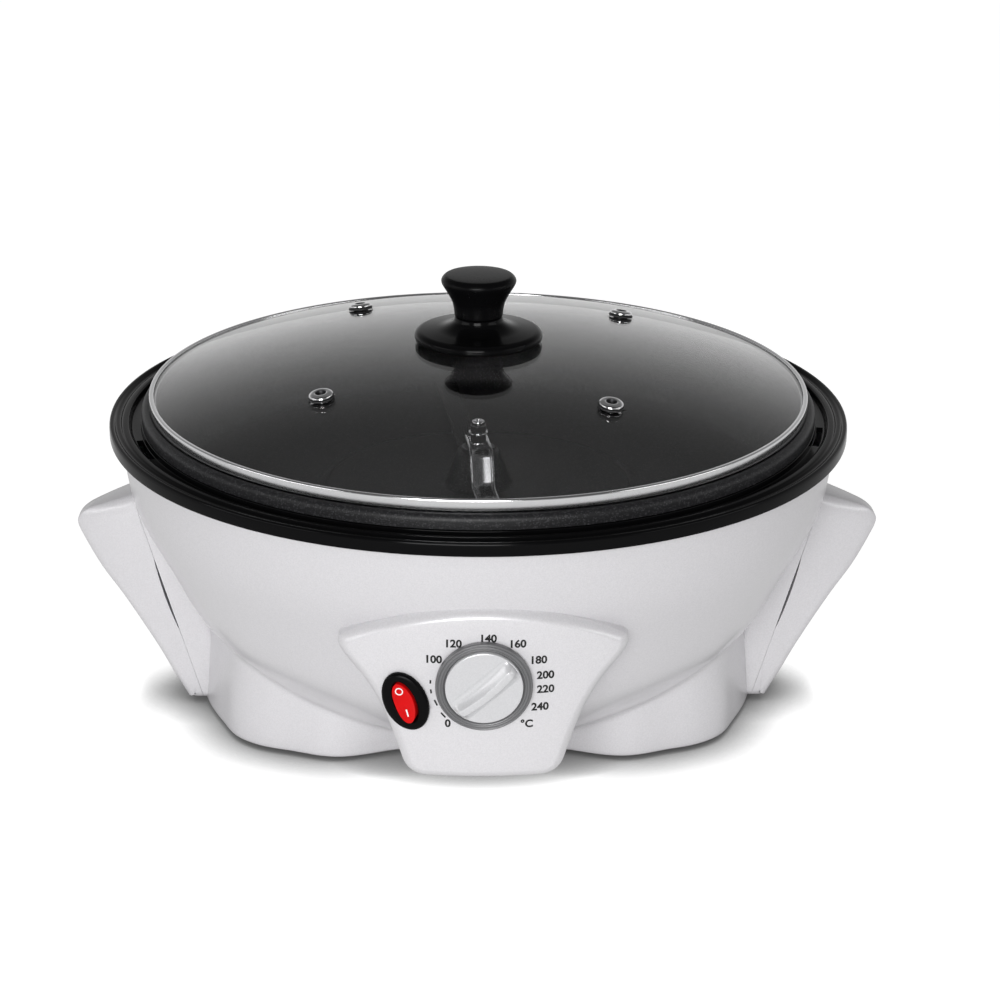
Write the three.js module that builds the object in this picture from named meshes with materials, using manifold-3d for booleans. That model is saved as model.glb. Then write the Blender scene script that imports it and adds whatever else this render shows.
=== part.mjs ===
// Home coffee bean roaster: a round non-stick pan with a turning stirrer over a heating ring, in a
// moulded housing with two side wings, a control panel in front and a loose glass lid.
// Millimetres, +Z up. The origin is on the countertop under the stirrer's axis, and -Y is the front.

import * as THREE from "three";
import { mergeVertices } from "three/addons/utils/BufferGeometryUtils.js";
import Module from "manifold-3d";

const wasm = await Module();
wasm.setup();

// Fits shared by all pieces
const clearance = 0.3; // between two pieces that touch
const runningClearance = 0.6; // around a piece that turns
const overrun = 4; // how far a cut runs past what it cuts

// Facets around a turned piece
const wideSides = 48;
const smallSides = 12;

// Housing: a bowl, an oval foot below it and a root for each wing, moulded in one
const housingHeight = 117;
const bowlDepth = 122;
const housingWall = 2.6;
const housingLift = 2;
const footSetback = 29;
const footHalfDepth = 66.5;
const footDraftShare = 0.03;
const footQuarterShares = [
  [0, 0.86],
  [0.28, 0.905],
  [0.5, 1],
  [0.66, 0.92],
  [0.775, 0.845],
  [0.86, 0.725],
  [0.92, 0.52],
  [0.985, 0.23],
  [1, 0.1],
];
const bossRadius = 5;
const bossBore = 1.6;
const bossHeight = 15;
const bossShares = [0.62, 0.87];

// Wings: two hollow handle covers on the housing's roots
const wingProjection = 23.6;
const wingDrop = 28.5;
const wingFootWidth = 6;
const wingRootThickness = 27;
const wingTipThickness = 9;
const wingWall = 2.4;
const wingEdgeRadius = 3;
const wingSeamGap = 0.8;
const wingTipShares = [
  [0, 0],
  [0.07, 0.064],
  [0.154, 0.139],
  [0.281, 0.257],
  [0.444, 0.393],
  [0.608, 0.518],
  [0.784, 0.636],
  [0.889, 0.717],
  [0.966, 0.78],
  [1, 0.836],
  [0.973, 0.882],
  [0.894, 0.912],
  [0.772, 0.938],
];

// Collar: the ring that clamps the pan to the housing, with vent slots in its channel
const collarLand = 8.2;
const collarOverhang = 5;
const collarThickness = 3.8;
const collarSkirt = 5.1;
const collarWall = 2.4;
const collarEdgeRadius = 1;
const channelWidth = 4;
const channelDepth = 2.4;
const channelFloor = 2;
const grooveWidth = 1.6;
const grooveDepth = 1.1;
const ventCount = 12;
const ventAngle = 9.5;
const ventStart = -12;
const ventWidth = 2.6;

// Pan: its mouth sets how wide the whole roaster is
const panMouthRadius = 126.5;
const panDraft = 4.1;
const panWall = 1.6;
const panDepth = 37;
const panCornerRadius = 5;
const panRimRadius = 2.5;
const panRimHeight = 5.3;
const coneHeight = 14;
const coneTopRadius = 8.3;
const coneBaseRadius = 13.1;
const floorRingRadius = 61.5;
const floorRingWidth = 1.6;
const floorRingDepth = 0.8;

// Stirrer on the drive shaft
const shaftRadius = 2.6;
const shaftTipRise = 10;
const shaftCentreBore = 1;
const shaftCentreDepth = 3;
const bushWall = 1.7;
const bushLength = 9;
const bushFlangeRadius = 6.6;
const bushFlangeThickness = 0.9;
const armWidth = 9.6;
const armThickness = 1.1;
const armFlangeHeight = 1.9;
const armFlangeWidth = 1;
const armFloorGap = 3;
const armEndGap = 4.5;
const armConeGap = 1.5;
const armTurn = 6;
const nutRadius = 3.5;
const nutHeight = 3;
const washerRadius = 3.9;
const washerThickness = 0.8;
const locknutHeight = 2.4;

// Drive below the pan
const couplingRadius = 6;
const couplingLength = 12;
const shaftTipEdge = 0.5;
const motorRadius = 25;
const motorHeight = 16;
const motorEdgeRadius = 1.5;
const gearboxRadius = 22;
const gearboxHeight = 6;
const bracketThickness = 1.5;
const bracketWidth = 34;
const bracketSpan = 68;
const bracketDrop = 14;
const bracketFlange = 10;

// Liner between pan and housing, and what it carries
const linerWall = 1.2;
const linerFlange = 2.2;
const linerMouthGap = 1.4;
const linerShoulderDrop = 26;
const linerCornerInset = 7.4;
const linerFloorMargin = 6;
const linerFloorGap = 16;
const linerCornerRise = 8;
const elementTubeRadius = 3.25;
const elementInset = 37.4;
const elementGapAngle = 15;
const elementTail = 14;
const elementBend = 8;
const elementClipStart = -90;
const elementSaddle = 5;
const elementClipWidth = 10;
const elementClipThickness = 1;
const elementClipCount = 3;
const fuseRadius = 3;
const fuseLength = 26;
const fuseReach = 50;

// Base cover and feet
const coverThickness = 2.5;
const coverRecess = 2;
const coverVentCount = 7;
const coverVentLength = 44;
const coverVentWidth = 3;
const coverVentPitch = 8;
const footPadRadius = 9;
const footTaper = 1;
const footStemRadius = 3;
const footHeadRadius = 4.2;
const footHeadHeight = 2;
const footPlaceShares = [0.72, 0.5827];
const blockWidth = 30;
const blockDepth = 16;
const blockHeight = 13;
const blockPlace = 36;
const blockPoleCount = 3;
const blockPoleRadius = 2.2;
const blockPoleDepth = 6;

// Cord gland at the back, with no cord in it
const inletHeight = 31;
const inletProud = 0.75;
const inletRadius = 10;
const glandRadius = 6;
const glandBore = 3.3;
const glandFlangeRadius = 8.4;
const glandFlangeThickness = 2.4;
const glandLength = 11;

// Lid
const lidOverlap = 2;
const lidRimWall = 0.5;
const lidRimLip = 0.8;
const lidRimEdge = 0.4;
const lidSkirtGap = 0.8;
const lidSkirtDepth = 2.6;
const glassThickness = 2.6;
const domeRise = 19;
const domePower = 2.2;
const eyeletPlaceShare = 0.6187;
const eyeletTurn = -5.7;
const eyeletSpread = 47.2;
const eyeletFlangeRadius = 4.5;
const eyeletFlangeThickness = 1.1;
const eyeletTubeRadius = 2.9;
const eyeletBore = 1.7;
const eyeletEdge = 0.5;
const eyeletTailRadius = 4.2;
const eyeletTailThickness = 0.9;
const gasketRadius = 4.9;
const gasketThickness = 0.7;

// Lid knob
const knobFlangeRadius = 25;
const knobFlangeEdge = 3.2;
const knobFlare = 3.2;
const knobNeckRadius = 9.3;
const knobNeckHeight = 3.2;
const knobGripRadius = 14.6;
const knobGripFoot = 9.4;
const knobGripHeight = 16.4;
const knobTopRadius = 13.6;
const knobEdgeDrop = 1.6;
const knobFlangeRound = 0.8;
const knobWaistRadius = 10.2;
const knobWaistHeight = 5.5;
const knobShoulderHeight = 13.6;
const knobScrewRadius = 2.3;
const knobScrewHead = 4.6;
const knobScrewHeadHeight = 2.2;
const knobScrewLength = 18;
const knobWasherRadius = 8;
const knobWasherThickness = 1;

// Control panel: a pod that stands out from the bowl
const panelDrop = 23;
const panelArchRise = 15.3;
const panelHeight = 66.3;
const panelTopWidth = 108.2;
const panelBottomWidth = 48;
const panelTopCorner = 9;
const panelBottomCorner = 8;
const panelProud = 2.6;
const panelLean = 3.5;
const panelWall = 2.5;
const panelBevel = 2.4;
const windowMargin = 7;
const podBack = 60;
const podFaceShares = [0.7, 0.4, 0.1];

// Thermostat dial, at the middle of the panel
const dialDrop = 28.7;
const dialRingRadius = 17;
const dialRingWidth = 3;
const dialRingHeight = 2.6;
const dialDiscHeight = 3;
const dialRidgeHeight = 3;
const dialRidgeWidth = 7.6;
const dialRidgeBow = 2;
const dialRidgeEdge = 0.8;
const dialRidgeEnd = 1;
const dialTurn = 45;
const stemRadius = 2.4;
const stemDepth = 5.5;
const stemSocketDepth = 4;
const thermostatWidth = 30;
const thermostatHeight = 26;
const thermostatDepth = 12;
const thermostatStandoff = 1.6;
const thermostatNeckRadius = 6;
const bulbRadius = 3;
const bulbLengthShare = 0.42;
const bulbStartShare = 0.67;
const capillaryRadius = 1.2;
const capillaryHole = 3;
const capillaryDip = 6;

// Rocker switch, beside the dial
const switchAcross = -27.4;
const switchDrop = 7.2;
const switchTilt = 22;
const switchLongRadius = 11.4;
const switchShortRadius = 8;
const switchBezelHeight = 2.2;
const switchBezelEdge = 0.8;
const switchOpeningLong = 9.1;
const switchOpeningShort = 4.2;
const rockerLongRadius = 8.3;
const rockerShortRadius = 3.7;
const rockerRise = 3;
const rockerEndDrop = 1;
const rockerSink = 3.2;
const rockerRoom = 1.4;
const rockerTilt = 7;
const switchBodyDepth = 14;
const switchBladeWidth = 4.8;
const switchBladeThickness = 0.8;
const switchBladeLength = 7;
const switchBladePlace = 5;

// Heights that follow from the sizes above, from the countertop up
const wingTop = housingHeight - wingDrop;
const panelTop = housingHeight - panelDrop;
const panelShoulder = panelTop - panelArchRise;
const panelBottom = panelTop - panelHeight;
const dialHeight = panelTop - dialDrop;
const switchHeight = dialHeight - switchDrop;
const collarUnderside = housingHeight + clearance;
const collarTop = collarUnderside + collarThickness;
const ledgeTop = collarTop - clearance;
const panRimBottom = ledgeTop + clearance;
const panRimTop = panRimBottom + panRimHeight;
const panFloor = panRimTop - panDepth;
const coneTop = panFloor + coneHeight;
const lidRimBottom = panRimTop + clearance;
const glassEdgeTop = lidRimBottom + lidRimWall + clearance + glassThickness;
const lidRimTop = glassEdgeTop + clearance + lidRimWall;
const knobBottom = glassEdgeTop + domeRise + clearance;
const elementHeight = panFloor - panWall - clearance - elementTubeRadius;
const linerFloor = panFloor - linerFloorGap;
const channelBottom = ledgeTop - channelDepth - channelFloor;
const linerTop = channelBottom - clearance;
const bracketTop = linerFloor - linerWall - clearance;
const motorPlate = bracketTop - bracketDrop;
const motorTop = motorPlate - bracketThickness - clearance;
const coverBottom = housingLift + coverRecess;
const coverTop = coverBottom + coverThickness;
const bushTop = coneTop + clearance + bushFlangeThickness;
const armHubHeight = bushTop + runningClearance;
const shaftTop = armHubHeight + shaftTipRise;

// Radii that follow, from the pan outwards and from the pan inwards
const panOuterRadius = panMouthRadius + 2 * panRimRadius;
const ledgeInner = panMouthRadius + panWall + clearance;
const ledgeOuter = panOuterRadius + clearance;
const channelOuter = ledgeOuter + channelWidth;
const collarRadius = channelOuter + collarLand;
const housingRadius = collarRadius - collarOverhang;
const footHalfWidth = housingRadius - footSetback;
const wingReach = bowlRadiusAt(wingTop) + wingProjection;
const inletReach = bowlRadiusAt(inletHeight + glandFlangeRadius) + inletProud;
const panFloorRadius = panMouthRadius - panDraft;
const elementRadius = panFloorRadius - elementInset;
const linerCornerRadius = panFloorRadius - linerCornerInset;
const linerFloorRadius = elementRadius + elementClipWidth / 2 + linerFloorMargin;
const bulbLength = bulbLengthShare * elementRadius;
const bulbStart = bulbStartShare * elementRadius;
const bushRadius = shaftRadius + runningClearance + bushWall;
const lidRadius = panMouthRadius + lidOverlap;
const glassRadius = lidRadius - lidRimWall - clearance;
const eyeletPlace = eyeletPlaceShare * glassRadius;

const radians = THREE.MathUtils.degToRad;

// Solids: a closed geometry becomes a solid that can be cut and joined, and a geometry again
function toSolid(geometry) {
  const bare = geometry.clone();
  bare.deleteAttribute("normal");
  bare.deleteAttribute("uv");
  const merged = mergeVertices(bare);
  const places = merged.getAttribute("position");
  const corners = merged.index.array;
  const kept = [];
  const [a, b, c] = [new THREE.Vector3(), new THREE.Vector3(), new THREE.Vector3()];
  let volume = 0;
  for (let i = 0; i < corners.length; i += 3) {
    const [first, second, third] = corners.slice(i, i + 3);
    if (first === second || second === third || third === first) continue;
    kept.push(first, second, third);
    a.fromBufferAttribute(places, first);
    b.fromBufferAttribute(places, second);
    c.fromBufferAttribute(places, third);
    volume += a.dot(b.cross(c));
  }
  if (volume < 0) kept.reverse();
  const mesh = new wasm.Mesh({
    numProp: 3,
    vertProperties: Float32Array.from(places.array),
    triVerts: Uint32Array.from(kept),
  });
  return new wasm.Manifold(mesh);
}

function toGeometry(solid) {
  const mesh = solid.getMesh();
  const geometry = new THREE.BufferGeometry();
  geometry.setAttribute("position", new THREE.BufferAttribute(Float32Array.from(mesh.vertProperties), 3));
  geometry.setIndex(Array.from(mesh.triVerts));
  geometry.computeVertexNormals();
  return geometry;
}

function joined(first, ...others) {
  return others.reduce((sum, other) => sum.add(other), first);
}

// A profile of [radius, height] points turned about Z. A profile off the axis closes on itself.
function turned(profile, sides = smallSides) {
  const offAxis = profile[0][0] > 0;
  const outline = offAxis ? [...profile, profile[0]] : profile;
  const points = outline.map(([radius, height]) => new THREE.Vector2(radius, height));
  return toSolid(new THREE.LatheGeometry(points, sides).rotateX(Math.PI / 2));
}

function disc(radius, bottom, top, sides = smallSides) {
  return turned([[0, bottom], [radius, bottom], [radius, top], [0, top]], sides);
}

function tube(outer, inner, bottom, top, sides = smallSides) {
  return turned([[inner, bottom], [outer, bottom], [outer, top], [inner, top]], sides);
}

function block(width, depth, height, x = 0, y = 0, z = 0) {
  return toSolid(new THREE.BoxGeometry(width, depth, height).translate(x, y, z));
}

// An outline of [x, y] points drawn up from one height to another
function drawnUp(outline, bottom, top) {
  const shape = new THREE.Shape(outline.map(([x, y]) => new THREE.Vector2(x, y)));
  const settings = { depth: top - bottom, bevelEnabled: false };
  return toSolid(new THREE.ExtrudeGeometry(shape, settings).translate(0, 0, bottom));
}

// An outline of [x, z] points, as seen from the front, drawn from one Y to another
function drawnBack(outline, front, back) {
  const shape = new THREE.Shape(outline.map(([x, z]) => new THREE.Vector2(x, z)));
  const settings = { depth: back - front, bevelEnabled: false };
  const geometry = new THREE.ExtrudeGeometry(shape, settings);
  return toSolid(geometry.rotateX(Math.PI / 2).translate(0, back, 0));
}

// A ring of points seen along the axis in which it is thinnest
function flattened(ring) {
  const size = new THREE.Box3().setFromPoints(ring).getSize(new THREE.Vector3()).toArray();
  const [first, second] = [0, 1, 2].filter((axis) => axis !== size.indexOf(Math.min(...size)));
  return ring.map((point) => new THREE.Vector2(point.getComponent(first), point.getComponent(second)));
}

// Rings of as many points each, skinned into one closed body
function skinned(rings) {
  const count = rings[0].length;
  const places = rings.flat().flatMap((point) => point.toArray());
  const faces = [];
  for (let ring = 0; ring + 1 < rings.length; ring += 1) {
    for (let i = 0; i < count; i += 1) {
      const next = (i + 1) % count;
      const low = ring * count;
      const high = low + count;
      faces.push(low + i, low + next, high + next, low + i, high + next, high + i);
    }
  }
  for (const [ring, side] of [[0, -1], [rings.length - 1, 1]]) {
    const flat = flattened(rings[ring]);
    const turn = side * Math.sign(THREE.ShapeUtils.area(flat));
    for (const face of THREE.ShapeUtils.triangulateShape(flat, [])) {
      const area = THREE.ShapeUtils.area(face.map((i) => flat[i]));
      const ordered = Math.sign(area) === turn ? face : [...face].reverse();
      faces.push(...ordered.map((i) => ring * count + i));
    }
  }
  const geometry = new THREE.BufferGeometry();
  geometry.setAttribute("position", new THREE.Float32BufferAttribute(places, 3));
  geometry.setIndex(faces);
  return toSolid(geometry);
}

// A line of [x, y] points moved sideways to its left, with its corners mitred
function offsetLine(line, distance, closed = false) {
  const last = line.length - 1;
  return line.map(([x, y], i) => {
    const before = line[closed && i === 0 ? last : Math.max(i - 1, 0)];
    const after = line[closed && i === last ? 0 : Math.min(i + 1, last)];
    const into = new THREE.Vector2(x - before[0], y - before[1]);
    const out = new THREE.Vector2(after[0] - x, after[1] - y);
    if (into.lengthSq() === 0) into.copy(out);
    if (out.lengthSq() === 0) out.copy(into);
    const across = into.normalize().clone().add(out.normalize()).normalize();
    const reach = distance / across.dot(into);
    return [x - across.y * reach, y + across.x * reach];
  });
}

// The outline of a sheet of one thickness, given the line of one of its faces
function sheetOutline(line, thickness) {
  return [...line, ...offsetLine(line, thickness).reverse()];
}

function arc(centreX, centreY, radius, from, to, steps) {
  return Array.from({ length: steps + 1 }, (_, i) => {
    const angle = radians(from + ((to - from) * i) / steps);
    return [centreX + radius * Math.cos(angle), centreY + radius * Math.sin(angle)];
  });
}

// An outline of [x, y, corner] points with each corner rounded over that length
function rounded(points, steps = 4) {
  const last = points.length - 1;
  return points.flatMap(([x, y, corner], i) => {
    if (!corner) return [[x, y]];
    const here = new THREE.Vector2(x, y);
    const toBefore = new THREE.Vector2(...points[i ? i - 1 : last]).sub(here).setLength(corner);
    const toAfter = new THREE.Vector2(...points[i < last ? i + 1 : 0]).sub(here).setLength(corner);
    const curve = new THREE.QuadraticBezierCurve(toBefore.add(here), here, toAfter.add(here));
    return curve.getPoints(steps).map((point) => point.toArray());
  });
}

function oval(longRadius, shortRadius, sides = 24) {
  const curve = new THREE.EllipseCurve(0, 0, shortRadius, longRadius);
  return curve.getPoints(sides).slice(0, sides).map((point) => point.toArray());
}

// The object as a scene graph
const roaster = new THREE.Group();

const finishes = {
  pearl: new THREE.MeshStandardMaterial({ color: 0xdcdce0, roughness: 0.32, metalness: 0.1 }),
  glossBlack: new THREE.MeshStandardMaterial({ color: 0x0b0b0c, roughness: 0.12, metalness: 0 }),
  nonStick: new THREE.MeshStandardMaterial({ color: 0x1b1b1d, roughness: 0.45, metalness: 0.1 }),
  glass: new THREE.MeshStandardMaterial({
    color: 0xdfe6e6,
    roughness: 0.03,
    metalness: 0,
    transparent: true,
    opacity: 0.25,
  }),
  steel: new THREE.MeshStandardMaterial({ color: 0xc9cbce, roughness: 0.18, metalness: 1 }),
  sheet: new THREE.MeshStandardMaterial({ color: 0xa9acae, roughness: 0.42, metalness: 1 }),
  brass: new THREE.MeshStandardMaterial({ color: 0xb8954e, roughness: 0.35, metalness: 1 }),
  dark: new THREE.MeshStandardMaterial({ color: 0x202022, roughness: 0.6, metalness: 0 }),
  rubber: new THREE.MeshStandardMaterial({ color: 0x151515, roughness: 0.85, metalness: 0 }),
  silicone: new THREE.MeshStandardMaterial({ color: 0x2a2a2c, roughness: 0.7, metalness: 0 }),
  dial: new THREE.MeshStandardMaterial({ color: 0xe4e4e6, roughness: 0.25, metalness: 0.15 }),
  dialRing: new THREE.MeshStandardMaterial({ color: 0x8b8c8f, roughness: 0.35, metalness: 0.7 }),
  red: new THREE.MeshStandardMaterial({ color: 0xd4120f, roughness: 0.2, metalness: 0 }),
  ceramic: new THREE.MeshStandardMaterial({ color: 0xe9e4d8, roughness: 0.6, metalness: 0 }),
  enamel: new THREE.MeshStandardMaterial({ color: 0x3b3d40, roughness: 0.5, metalness: 0.6 }),
};

function place(name, solid, finish, parent = roaster) {
  const mesh = new THREE.Mesh(toGeometry(solid), finishes[finish]);
  mesh.name = name;
  parent.add(mesh);
  return mesh;
}

// Housing

function bowlRadiusAt(height) {
  return housingRadius * Math.sqrt(1 - ((housingHeight - height) / bowlDepth) ** 2);
}

function bowlHeightAt(radius) {
  return housingHeight - bowlDepth * Math.sqrt(1 - (radius / housingRadius) ** 2);
}

const footTop = bowlHeightAt(footHalfWidth + housingWall);

// The bowl is a quarter of an ellipse turned about the axis, grown or shrunk evenly
function bowl(growth, top = housingHeight, steps = 10) {
  const wall = Array.from({ length: steps + 1 }, (_, i) => {
    const angle = (Math.PI / 2) * (i / steps);
    const radius = (housingRadius + growth) * Math.sin(angle);
    return [radius, housingHeight - (bowlDepth + growth) * Math.cos(angle)];
  });
  return turned([...wall, [housingRadius + growth, top], [0, top]], wideSides);
}

function footOutline(inset, height) {
  const quarter = footQuarterShares;
  const half = [...quarter, ...quarter.slice().reverse().map(([x, y]) => [x, -y])];
  const shares = [...half.slice(0, -1), ...half.slice(1).reverse().map(([x, y]) => [-x, y])];
  const taper = 1 - (footDraftShare * (height - housingLift)) / (footTop - housingLift);
  const knots = shares.map(
    ([x, y]) => new THREE.Vector3(x * footHalfWidth * taper, y * footHalfDepth * taper, 0),
  );
  const curve = new THREE.CatmullRomCurve3(knots, true, "centripetal");
  const line = curve.getSpacedPoints(48).slice(0, 48).map((point) => [point.x, point.y]);
  return offsetLine(line, -inset, true);
}

function foot(inset, bottom, top) {
  const rings = [bottom, top].map((height) => {
    return footOutline(inset, height).map(([x, y]) => new THREE.Vector3(x, y, height));
  });
  return skinned(rings);
}

// The wing as seen from the front: its tip curve, closed inside the bowl
function wingOutline(inset) {
  const footOuter = footHalfWidth + wingFootWidth;
  const knots = wingTipShares.map(([along, up]) => {
    const x = footOuter + along * (wingReach - footOuter);
    return new THREE.Vector2(x, housingLift + up * (wingTop - housingLift));
  });
  const curve = new THREE.SplineCurve(knots).getPoints(24).map((point) => point.toArray());
  const inside = footHalfWidth - wingRootThickness;
  const line = [...curve, [bowlRadiusAt(wingTop), wingTop], [inside, wingTop], [inside, housingLift]];
  return offsetLine(line, inset, true);
}

// The wing's blank is thinner at its tip than at its root, with rounded edges all round
function wingBlank(inset) {
  const half = wingRootThickness / 2 - inset;
  const edge = wingEdgeRadius - inset;
  const layers = [[-half, edge], [edge - half, 0], [half - edge, 0], [half, edge]];
  const rings = layers.map(([y, shrink]) => {
    return wingOutline(inset + shrink).map(([x, z]) => {
      const along = THREE.MathUtils.smoothstep(x, footHalfWidth, wingReach);
      const thinning = 1 - along * (1 - wingTipThickness / wingRootThickness);
      return new THREE.Vector3(x, y * thinning, z);
    });
  });
  return skinned(rings);
}

// The region outside the seam between a wing's cover and its root
function outsideSeam(shift) {
  const [low, high] = [housingLift - overrun, wingTop + overrun];
  const slope = (bowlRadiusAt(wingTop) - footHalfWidth) / (wingTop - housingLift);
  const start = footHalfWidth + wingSeamGap + shift;
  const seamAt = (height) => start + slope * (height - housingLift);
  const far = wingReach + overrun;
  const outline = [[seamAt(low), low], [far, low], [far, high], [seamAt(high), high]];
  return drawnBack(outline, -wingRootThickness, wingRootThickness);
}

function halfTurn(solid) {
  return solid.rotate([0, 0, 180]);
}

// The panel's outline as seen from the front: an arched top over a trapezoid
function panelOutline(inset) {
  const [wide, narrow] = [panelTopWidth / 2, panelBottomWidth / 2];
  const rise = panelTop - panelShoulder;
  const archRadius = (wide ** 2 + rise ** 2) / (2 * rise);
  const archSpan = THREE.MathUtils.radToDeg(Math.asin(wide / archRadius));
  const arch = arc(0, panelTop - archRadius, archRadius, 90 - archSpan, 90 + archSpan, 10);
  const line = offsetLine([[-narrow, panelBottom], [narrow, panelBottom], ...arch], inset, true);
  const corners = line.map(([x, z], i) => {
    if (i < 2) return [x, z, panelBottomCorner - inset];
    return i === 2 || i === line.length - 1 ? [x, z, panelTopCorner - inset] : [x, z];
  });
  return rounded(corners);
}

// The panel's face is upright round the bowl and leans in a little at the bottom
function panelFaceAt(x, height, depth) {
  const top = bowlRadiusAt(panelTop) + panelProud;
  const radius = top - (panelTop - height) * Math.tan(radians(panelLean));
  return -Math.sqrt(radius ** 2 - x ** 2) + depth;
}

function pod(inset, back) {
  const middle = (panelTop + panelBottom) / 2;
  const ring = (outline, share, depth) => outline.map(([x, z]) => {
    const [across, up] = [x * share, middle + (z - middle) * share];
    return new THREE.Vector3(across, depth === null ? back : panelFaceAt(across, up, depth), up);
  });
  const rim = panelOutline(inset);
  const face = panelOutline(inset + panelBevel);
  return skinned([
    ring(rim, 1, null),
    ring(rim, 1, inset + panelBevel),
    ring(face, 1, inset),
    ...podFaceShares.map((share) => ring(face, share, inset)),
  ]);
}

// The dial's own frame: X across, Y up the face, Z straight out of it
const dialFrame = new THREE.Group();
dialFrame.position.set(0, panelFaceAt(0, dialHeight, 0), dialHeight);
dialFrame.rotation.x = Math.PI / 2 + radians(panelLean);

// The switch's frame has Y along the oval, which leans to the left
const switchFrame = new THREE.Group();
switchFrame.position.set(switchAcross, panelFaceAt(switchAcross, switchHeight, 0), switchHeight);
const switchYaw = Math.asin(switchAcross / (bowlRadiusAt(panelTop) + panelProud));
switchFrame.rotation.set(Math.PI / 2 + radians(panelLean), switchYaw, radians(switchTilt));

function movedWith(frame, solid) {
  frame.updateMatrix();
  return toSolid(toGeometry(solid).applyMatrix4(frame.matrix));
}

function housingSolid() {
  const root = wingBlank(0).subtract(outsideSeam(0));
  const inlet = disc(inletRadius, 0, inletReach).rotate([-90, 0, 0]).translate([0, 0, inletHeight]);
  const skin = joined(bowl(0), foot(0, housingLift, footTop), root, halfTurn(root), inlet);
  const low = disc(2 * wingReach, housingLift - bowlDepth, housingLift, 4);
  const inside = joined(
    bowl(-housingWall, housingHeight + overrun),
    foot(housingWall, housingLift - overrun, footTop - housingWall),
  );
  const window = drawnBack(panelOutline(windowMargin), -housingRadius, -podBack);
  const glandHole = disc(glandRadius + clearance, 0, inletReach + overrun);
  let shell = skin.subtract(low).subtract(inside).subtract(window);
  for (const [signX, signY] of [[1, 1], [-1, 1], [-1, -1], [1, -1]]) {
    const spot = [signX * bossShares[0] * footHalfWidth, signY * bossShares[1] * footHalfDepth, 0];
    const bottom = coverTop + clearance;
    const column = disc(bossRadius, bottom, bottom + bossHeight).translate(spot);
    const bore = disc(bossBore, bottom - overrun, bottom + bossHeight - bossRadius);
    shell = shell.add(column.intersect(skin)).subtract(bore.translate(spot));
  }
  return shell.subtract(glandHole.rotate([-90, 0, 0]).translate([0, 0, inletHeight]));
}

function wingCover() {
  const shell = wingBlank(0).subtract(wingBlank(wingWall));
  return shell.intersect(outsideSeam(clearance));
}

function collar() {
  const inner = collarRadius - collarWall;
  const groove = (channelOuter + collarRadius) / 2;
  const floor = ledgeTop - channelDepth;
  const profile = [
    [ledgeInner, channelBottom],
    [channelOuter, channelBottom],
    [channelOuter, collarUnderside],
    [inner, collarUnderside],
    [inner, collarTop - collarSkirt],
    [collarRadius, collarTop - collarSkirt],
    [collarRadius, collarTop - collarEdgeRadius],
    [collarRadius - collarEdgeRadius, collarTop],
    [groove + grooveWidth, collarTop],
    [groove + grooveWidth / 2, collarTop - grooveDepth],
    [groove - grooveWidth / 2, collarTop - grooveDepth],
    [groove - grooveWidth, collarTop],
    [channelOuter, collarTop],
    [channelOuter - clearance, floor],
    [ledgeOuter, floor],
    [ledgeOuter, ledgeTop],
    [ledgeInner, ledgeTop],
  ];
  let ring = turned(profile, wideSides);
  const [near, far] = [ledgeOuter + clearance, ledgeOuter + clearance + ventWidth];
  for (let vent = 0; vent < ventCount; vent += 1) {
    const middle = ventStart - 90 + (vent * 360) / ventCount;
    const [from, to] = [middle - ventAngle / 2, middle + ventAngle / 2];
    const outline = [...arc(0, 0, near, from, to, 3), ...arc(0, 0, far, to, from, 3)];
    ring = ring.subtract(drawnUp(outline, channelBottom - overrun, floor + overrun));
  }
  return ring;
}

function pan() {
  const draft = THREE.MathUtils.radToDeg(Math.atan((panMouthRadius - panFloorRadius) / panDepth));
  const corner = panFloorRadius - panCornerRadius;
  const rimHigh = panRimTop - panRimRadius;
  const line = [
    [bushRadius + clearance, coneTop],
    [coneTopRadius, coneTop],
    [coneBaseRadius, panFloor],
    [floorRingRadius - floorRingWidth, panFloor],
    [floorRingRadius, panFloor - floorRingDepth],
    [floorRingRadius + floorRingWidth, panFloor],
    ...arc(corner, panFloor + panCornerRadius, panCornerRadius, -90, -draft, 2),
    ...arc(panMouthRadius + panRimRadius, rimHigh, panRimRadius, 180, 0, 5),
    [panOuterRadius, panRimBottom],
  ];
  return turned(sheetOutline(line, -panWall), wideSides);
}

function liner() {
  const mouth = panMouthRadius + panWall + linerMouthGap;
  const hole = couplingRadius + 2 * runningClearance;
  const line = [
    [hole, linerFloor],
    [linerFloorRadius, linerFloor],
    [linerCornerRadius, linerFloor + linerCornerRise],
    [mouth - linerWall, linerTop - linerShoulderDrop],
    [mouth, linerTop],
    [mouth + linerFlange, linerTop],
  ];
  let dish = turned(sheetOutline(line, -linerWall), wideSides);
  for (const side of [1, -1]) {
    const tail = disc(elementTubeRadius + runningClearance, linerFloor - overrun, linerFloor + overrun);
    const around = tail.translate([0, elementRadius, 0]).rotate([0, 0, side * elementGapAngle]);
    dish = dish.subtract(around);
  }
  const sensorHole = disc(capillaryHole, linerFloor - overrun, linerFloor + overrun);
  return dish.subtract(sensorHole.translate([0, -bulbStart - capillaryDip, 0]));
}

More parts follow.
